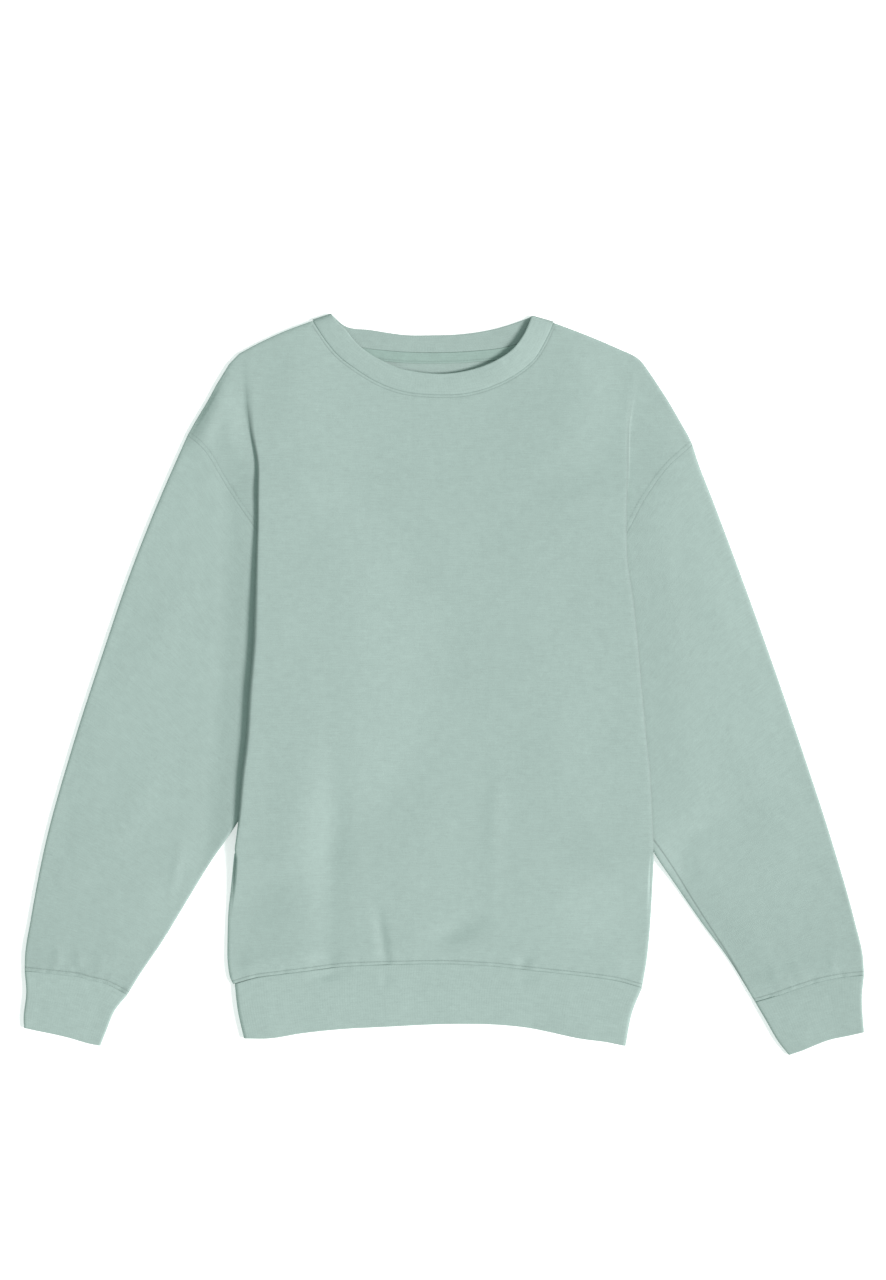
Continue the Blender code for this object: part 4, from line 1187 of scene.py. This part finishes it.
def neck_tape():
    """The neck tape lies on the inside of the back, along the back neck seam."""
    across = spaced(TAPE_LENGTH, BAND_STEP, start=RIM_CLOSE, end=RIM_CLOSE)
    across = TAPE_ENDS + (1 - 2 * TAPE_ENDS) * across
    down = spaced(TAPE_WIDTH, TAPE_STEP, start=RIM_CLOSE[:-2], end=RIM_CLOSE[:-2])
    from_edge = down * TAPE_WIDTH
    to_edge = (1 - down) * TAPE_WIDTH
    seam = smooth_path(NECK_SEAM_BACK)(across)
    x = np.broadcast_to(seam[:, :1], (len(across), len(down)))
    y = seam[:, 1:] - TAPE_FROM_SEAM - TAPE_WIDTH * down
    lying = CLOTH + TAPE / 2 + TAPE_LIFT
    dent = TAPE_DENT * np.exp(-((from_edge - SEAMS["tape"][0]) / DENT_WIDTH) ** 2)
    points = np.stack((x, y, lying - dent + 0 * x), axis=2)
    wall = rim(from_edge, TAPE / 2, TAPE_RIM) * rim(to_edge, TAPE / 2, TAPE_RIM)
    painted_shade = seam_painted_shade("tape", from_edge) - seam_painted_shade("tape", from_edge, False)
    return points, np.broadcast_to(wall, x.shape), np.broadcast_to(painted_shade, x.shape)


# ---- objects ----

def placed(bm, name, material):
    """The mesh as a smooth object of one material."""
    mesh = bpy.data.meshes.new(name)
    bm.to_mesh(mesh)
    bm.free()
    mesh.shade_smooth()
    mesh.materials.append(material)
    obj = bpy.data.objects.new(name, mesh)
    bpy.context.scene.collection.objects.link(obj)
    return obj


def lengths(points, axis):
    """The metres from a grid's edge to each of its columns (axis 0) or rows (axis 1)."""
    steps = np.linalg.norm(np.diff(points, axis=axis), axis=2).mean(axis=1 - axis)
    return np.concatenate(([0], np.cumsum(steps))) * METRES


def cloth_piece(name, points, weights, painted_shades, wall, material):
    """A wall of cloth on a grid of points. Its UV map holds the metres across and along the cloth.

    On the two panels those are x and y, so that the knit keeps its size beside a pleat."""
    columns, rows = weights.shape
    u, v = lengths(points, 0), lengths(points, 1)
    bm = bmesh.new()
    uv = bm.loops.layers.uv.new("cloth")
    share = bm.verts.layers.deform.verify()
    # the seam attribute holds painted shade: along seams, round the front's fold, on the neckband's inside
    # and the right cuff
    seam = bm.verts.layers.float.new("seam")
    bmesh.ops.create_grid(bm, x_segments=columns - 1, y_segments=rows - 1, size=1)
    bm.verts.index_update()
    place = []
    for vert in bm.verts:
        i = round((vert.co.x + 1) / 2 * (columns - 1))
        j = round((1 - vert.co.y) / 2 * (rows - 1))
        place.append((i, j))
        vert.co = points[i, j] * METRES
        vert[share][0] = weights[i, j]
        vert[seam] = painted_shades[i, j]
    for face in bm.faces:
        for loop in face.loops:
            i, j = place[loop.vert.index]
            flat = points[i, j, :2] * METRES
            loop[uv].uv = flat if "panel" in name else (u[i], v[j])
    bmesh.ops.remove_doubles(bm, verts=bm.verts, dist=1e-6)
    obj = placed(bm, name, material)
    obj.vertex_groups.new(name="wall")
    solid = obj.modifiers.new("wall", "SOLIDIFY")
    solid.thickness = wall * METRES
    solid.offset = 0
    solid.vertex_group = "wall"
    return obj


# ---- stitches ----

def surface_of(obj):
    """The finished surface of a piece of cloth, to lay stitches on."""
    return BVHTree.FromObject(obj, bpy.context.evaluated_depsgraph_get())


def even_points(line, pitch):
    """Points at an even pitch along a line."""
    steps = np.linalg.norm(np.diff(line, axis=0), axis=1)
    along = np.concatenate(([0], np.cumsum(steps)))
    at = np.arange(pitch / 2, along[-1], pitch)
    return np.column_stack([np.interp(at, along, line[:, k]) for k in range(2)])


def topstitching(name, rows, material):
    """Short stitches laid along lines on the cloth. A row is a surface, a line and its side (1 is up)."""
    bm = bmesh.new()
    for tree, line, up in rows:
        found = []
        for x, y in even_points(line, STITCH_PITCH):
            start = Vector((x * METRES, y * METRES, up * CLEAR_OF_CLOTH))
            place, normal = tree.ray_cast(start, Vector((0, 0, -up)))[:2]
            found.append((place, normal))
        for (before, _), (place, normal), (after, _) in zip(found, found[1:], found[2:]):
            if None in (before, place, after):
                continue
            if (after - before).length > STITCH_JUMP * STITCH_PITCH * METRES:
                continue
            along = (after - before).normalized()
            out = (normal - along * normal.dot(along)).normalized()
            turn = Matrix((along, out.cross(along), out)).transposed().to_4x4()
            sunk = place - out * STITCH_SUNK[up] * THREAD * METRES
            size = Matrix.Diagonal((STITCH_LENGTH / 2 * METRES, THREAD * METRES, THREAD * METRES, 1))
            bmesh.ops.create_uvsphere(bm, u_segments=6, v_segments=4, radius=1,
                                      matrix=Matrix.Translation(sunk) @ turn @ size)
    return placed(bm, name, material)


# ---- materials ----

class Tree:
    """Adds nodes to a node tree. A node's inputs are sockets to link to, or plain values."""

    def __init__(self, tree):
        self.nodes = tree.nodes
        self.links = tree.links

    def feed(self, node, inputs):
        """Gives a node its inputs, by name or place. Returns its outputs."""
        for label, value in inputs.items():
            if isinstance(value, bpy.types.NodeSocket):
                self.links.new(value, node.inputs[label])
            else:
                node.inputs[label].default_value = value
        return node.outputs

    def add(self, kind, inputs, operation=None):
        """A new node's first output."""
        node = self.nodes.new("ShaderNode" + kind)
        if operation:
            node.operation = operation
        return self.feed(node, inputs)[0]

    def maths(self, operation, *inputs):
        """The result of a Math node."""
        return self.add("Math", dict(enumerate(inputs)), operation)

    def scaled(self, vector, scale):
        """The vector or colour times the scale."""
        return self.add("VectorMath", {0: vector, "Scale": scale}, "SCALE")

    def noise(self, vector, scale, detail, roughness=0.55):
        """Noise from 0 to 1."""
        inputs = {"Vector": vector, "Scale": scale, "Detail": detail, "Roughness": roughness}
        return self.add("TexNoise", inputs)

    def split(self, vector):
        """The parts of a vector."""
        return self.feed(self.nodes.new("ShaderNodeSeparateXYZ"), {0: vector})

    def wave(self, value, turns):
        """A sine of the value times this many radians."""
        return self.maths("SINE", self.maths("MULTIPLY", value, turns))

    def group(self, group, inputs):
        """A node group's first output."""
        node = self.nodes.new("ShaderNodeGroup")
        node.node_tree = group
        return self.feed(node, inputs)[0]


def node_group(name, inputs, output):
    """An empty node group: itself, its tree, the sockets of its inputs and its end node.

    Inputs are names with the kind of their sockets, and so is the single output."""
    group = bpy.data.node_groups.new(name, "ShaderNodeTree")
    for label, kind in inputs.items():
        group.interface.new_socket(label, in_out="INPUT", socket_type="NodeSocket" + kind)
    group.interface.new_socket(output[0], in_out="OUTPUT", socket_type="NodeSocket" + output[1])
    start = group.nodes.new("NodeGroupInput")
    return group, Tree(group), start.outputs, group.nodes.new("NodeGroupOutput")


def heather_group():
    """Colour of yarn-dyed fleece: slow mottling, slub streaks along the courses and fine flecks, darkened
    by painted shade.
    """
    inputs = {"Place": "Vector", "Cloth": "Vector", "Yarn": "Color", "Seam": "Float"}
    group, tree, start, end = node_group("sage_heather", inputs, ("Colour", "Color"))
    streaks = tree.add("VectorMath", {0: start["Cloth"], 1: SLUB}, "MULTIPLY")
    shade = 1.0
    for vector, scale, detail, depth in (
        (start["Place"], 11, 2, 0.03),
        (start["Place"], 130, 3, 0.07),
        (streaks, 1, 2, 0.10),
        (start["Place"], 900, 2, 0.12),
    ):
        centred = tree.maths("SUBTRACT", tree.noise(vector, scale, detail), 0.5)
        shade = tree.maths("MULTIPLY_ADD", centred, depth * 2, shade)
    # painted shade: the colour is darkened where the seam attribute marks shade
    kept = tree.maths("MULTIPLY_ADD", start["Seam"], -PAINTED_SEAM_SHADE, 1.0)
    shade = tree.maths("MULTIPLY", shade, kept)
    tree.feed(end, {"Colour": tree.scaled(start["Yarn"], shade)})
    return group


def knit_group(name, knitted, fuzz_height):
    """Height of a knit face, with the fuzz of the yarn on it."""
    inputs = {"Cloth": "Vector", "Place": "Vector"}
    group, tree, start, end = node_group(name, inputs, ("Height", "Float"))
    across, along, _ = tree.split(start["Cloth"])
    raised = knitted(tree, across, along)
    fuzz = tree.noise(start["Place"], *FUZZ)
    tree.feed(end, {"Height": tree.maths("MULTIPLY_ADD", fuzz, fuzz_height, raised)})
    return group


def jersey(tree, across, along):
    """Columns of V stitches, the legs slanting to the middle of each."""
    wale = tree.maths("FRACT", tree.maths("DIVIDE", across, WALE_PITCH))
    from_middle = tree.maths("ABSOLUTE", tree.maths("SUBTRACT", wale, 0.5))
    leg = tree.wave(from_middle, math.tau)
    course = tree.maths("DIVIDE", along, COURSE_PITCH)
    loop = tree.wave(tree.maths("MULTIPLY_ADD", from_middle, V_SLANT, course), math.tau)
    return tree.maths("MULTIPLY", leg, tree.maths("MULTIPLY_ADD", loop, *LOOP_RELIEF))


def ribs(tree, across, along):
    """Rounded ribs that run down the band."""
    rounded = tree.maths("ABSOLUTE", tree.wave(across, math.pi / RIB_PITCH))
    ridge = tree.maths("POWER", rounded, RIB_FULLNESS)
    return tree.maths("MULTIPLY_ADD", tree.wave(along, math.tau / COURSE_PITCH), RIB_LOOPS, ridge)


def new_material(name, inputs):
    """A material, its tree and its shader, with values for the shader's inputs."""
    material = bpy.data.materials.new(name)
    material.use_nodes = True
    tree = Tree(material.node_tree)
    shader = tree.nodes["Principled BSDF"]
    tree.feed(shader, inputs)
    return material, tree, shader


def cloth_material(name, yarn, face, depth):
    """A material of heathered yarn with a knit face of this depth in metres."""
    material, tree, shader = new_material(name, CLOTH_FINISH)
    place = tree.nodes.new("ShaderNodeTexCoord").outputs["Object"]
    cloth_map = tree.nodes.new("ShaderNodeUVMap")
    cloth_map.uv_map = "cloth"
    cloth = cloth_map.outputs[0]
    # painted shade, from the seam attribute
    seam = tree.nodes.new("ShaderNodeAttribute")
    seam.attribute_name = "seam"
    colour = tree.group(HEATHER, {"Yarn": (*yarn, 1), "Place": place, "Cloth": cloth,
                                  "Seam": seam.outputs["Fac"]})
    height = tree.group(face, {"Cloth": cloth, "Place": place})
    bump = tree.add("Bump", {"Strength": 1.0, "Distance": depth, "Height": height})
    rough = tree.maths("MULTIPLY_ADD", tree.noise(place, 300, 2), 0.12, 0.86)
    tree.feed(shader, {"Base Color": colour, "Normal": bump, "Roughness": rough})
    return material


def thread_material():
    """The yarn of the topstitching."""
    material, tree, shader = new_material("sage_thread", {"Roughness": 0.6})
    place = tree.nodes.new("ShaderNodeTexCoord").outputs["Object"]
    shade = tree.maths("MULTIPLY_ADD", tree.noise(place, 2200, 1), 0.3, 0.85)
    tree.feed(shader, {"Base Color": tree.scaled(SAGE_THREAD, shade)})
    return material


HEATHER = heather_group()
JERSEY = knit_group("jersey_face", jersey, FLEECE_FUZZ)
RIB_FACE = knit_group("rib_face", ribs, RIB_FUZZ)


# ---- the garment ----

def build_cloth():
    """Every piece of cloth, by name."""
    fleece = cloth_material("sage_fleece", SAGE, JERSEY, JERSEY_DEPTH)
    rib = cloth_material("sage_rib", SAGE_RIB, RIB_FACE, RIB_DEPTH)
    tape = cloth_material("sage_tape", SAGE_TAPE, JERSEY, TAPE_DEPTH)
    made = {"front_panel": (*FRONT.surface(), CLOTH, fleece),
            "back_panel": (*BACK.surface(), CLOTH, fleece),
            "hem_band": (*hem_band(), RIB, rib),
            "neckband": (*neckband(), RIB, rib),
            "neck_tape": (*neck_tape(), TAPE, tape)}
    for side in SIDES:
        made["sleeve_" + side.name] = (*sleeve(side), CLOTH, fleece)
        made["cuff_" + side.name] = (*cuff(side), RIB, rib)
    return {name: cloth_piece(name + "_cloth", *parts) for name, parts in made.items()}


def stitch_lines(cloth):
    """The lines of topstitching that show: surface, line and side."""
    tree = {name: surface_of(obj) for name, obj in cloth.items()}
    front, back, tape = tree["front_panel"], tree["back_panel"], tree["neck_tape"]
    hem = (HEM_LINE + (0, SEAMS["hem"][0]))[HEM_STITCHED]
    front_neck = moved_left(FRONT.neck_line, -SEAMS["neck"][0])[NECK_STITCHED]
    back_neck = moved_left(BACK.neck_line, -SEAMS["neck"][0])[BACK_NECK_STITCHED]
    on_tape = BACK.neck_line[NECK_STITCHED] - (0, TAPE_FROM_SEAM + SEAMS["tape"][0])
    rows = {"hem": [(front, hem, 1), (back, hem, -1)],
            "neck": [(front, front_neck, 1), (back, back_neck, -1), (tape, on_tape, 1)],
            "armhole": [], "cuff": []}
    for side in SIDES:
        line = moved_left(side.armhole_line(), -side.sign * SEAMS["armhole"][0])
        for panel, up, covered in ((front, 1, 0), (back, -1, BACK_TUCKED)):
            shows = np.abs(line[:, 0]) > side.edge(line[:, 1]) - covered + 1
            rows["armhole"].append((panel, line[shows], up))
        seam = smooth_path(CUFF_SEAM[side.name])(np.linspace(*CUFF_STITCHED))
        line = moved_left(seam, -SEAMS["cuff"][0]) * (side.sign, 1)
        rows["cuff"] += [(tree["sleeve_" + side.name], line, up) for up in (1, -1)]
    return rows


# ---- camera, light and floor ----

VIEW_CENTRE = (-0.0011, 0.0426)
VIEW_HEIGHT = 1.2288     # metres from the bottom to the top of the picture
CAMERA_DISTANCE = 6.0
SENSOR = 36.0
KEY_STRENGTH = 3.02
KEY_ELEVATION = 44.0
KEY_ANGLE = 18.0
KEY_TURN = -12.0         # degrees from +X, seen from above
KEY_COLOUR = (1.0, 0.905, 0.93)
SKY = {"Color": (0.85, 1.0, 0.955, 1), "Strength": 0.466}
FLOOR_SIZE = 6.0         # half its width
FLOOR_Z = -0.0004
FLOOR_FINISH = {
    "Base Color": (0.93, 0.93, 0.93, 1),
    "Roughness": 0.9,
    "Specular IOR Level": 0.0,
    "Emission Color": (1, 1, 1, 1),
    "Emission Strength": 0.45,
}


def studio():
    """A camera straight above, a soft key light, an even sky and a pale floor."""
    scene = bpy.context.scene
    camera = bpy.data.cameras.new("camera")
    camera.sensor_fit = "VERTICAL"
    camera.sensor_height = SENSOR
    camera.lens = SENSOR * CAMERA_DISTANCE / VIEW_HEIGHT
    camera.clip_end = 100
    eye = bpy.data.objects.new("camera", camera)
    eye.location = (*VIEW_CENTRE, CAMERA_DISTANCE)
    scene.collection.objects.link(eye)
    scene.camera = eye

    key = bpy.data.lights.new("key", "SUN")
    key.energy = KEY_STRENGTH
    key.angle = math.radians(KEY_ANGLE)
    key.color = KEY_COLOUR
    lamp = bpy.data.objects.new("key", key)
    lamp.rotation_euler = (0, math.radians(90 - KEY_ELEVATION), math.radians(KEY_TURN))
    scene.collection.objects.link(lamp)

    scene.world = bpy.data.worlds.new("soft_room")
    scene.world.use_nodes = True
    tree = Tree(scene.world.node_tree)
    tree.feed(tree.nodes["Background"], SKY)

    bm = bmesh.new()
    bmesh.ops.create_grid(bm, x_segments=1, y_segments=1, size=FLOOR_SIZE)
    bmesh.ops.translate(bm, verts=bm.verts, vec=(0, 0, FLOOR_Z))
    placed(bm, "floor", new_material("pale_paper", FLOOR_FINISH)[0])

    scene.view_settings.view_transform = "Standard"
    scene.view_settings.look = "None"
    scene.view_settings.exposure = 0.0


# ---- putting it together ----

studio()
cloth = build_cloth()
thread = thread_material()
stitching = [topstitching(name + "_stitching", rows, thread) for name, rows in stitch_lines(cloth).items()]
for name, obj in cloth.items():
    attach(obj, "root")
    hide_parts(name)
for obj in stitching:
    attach(obj, "root")
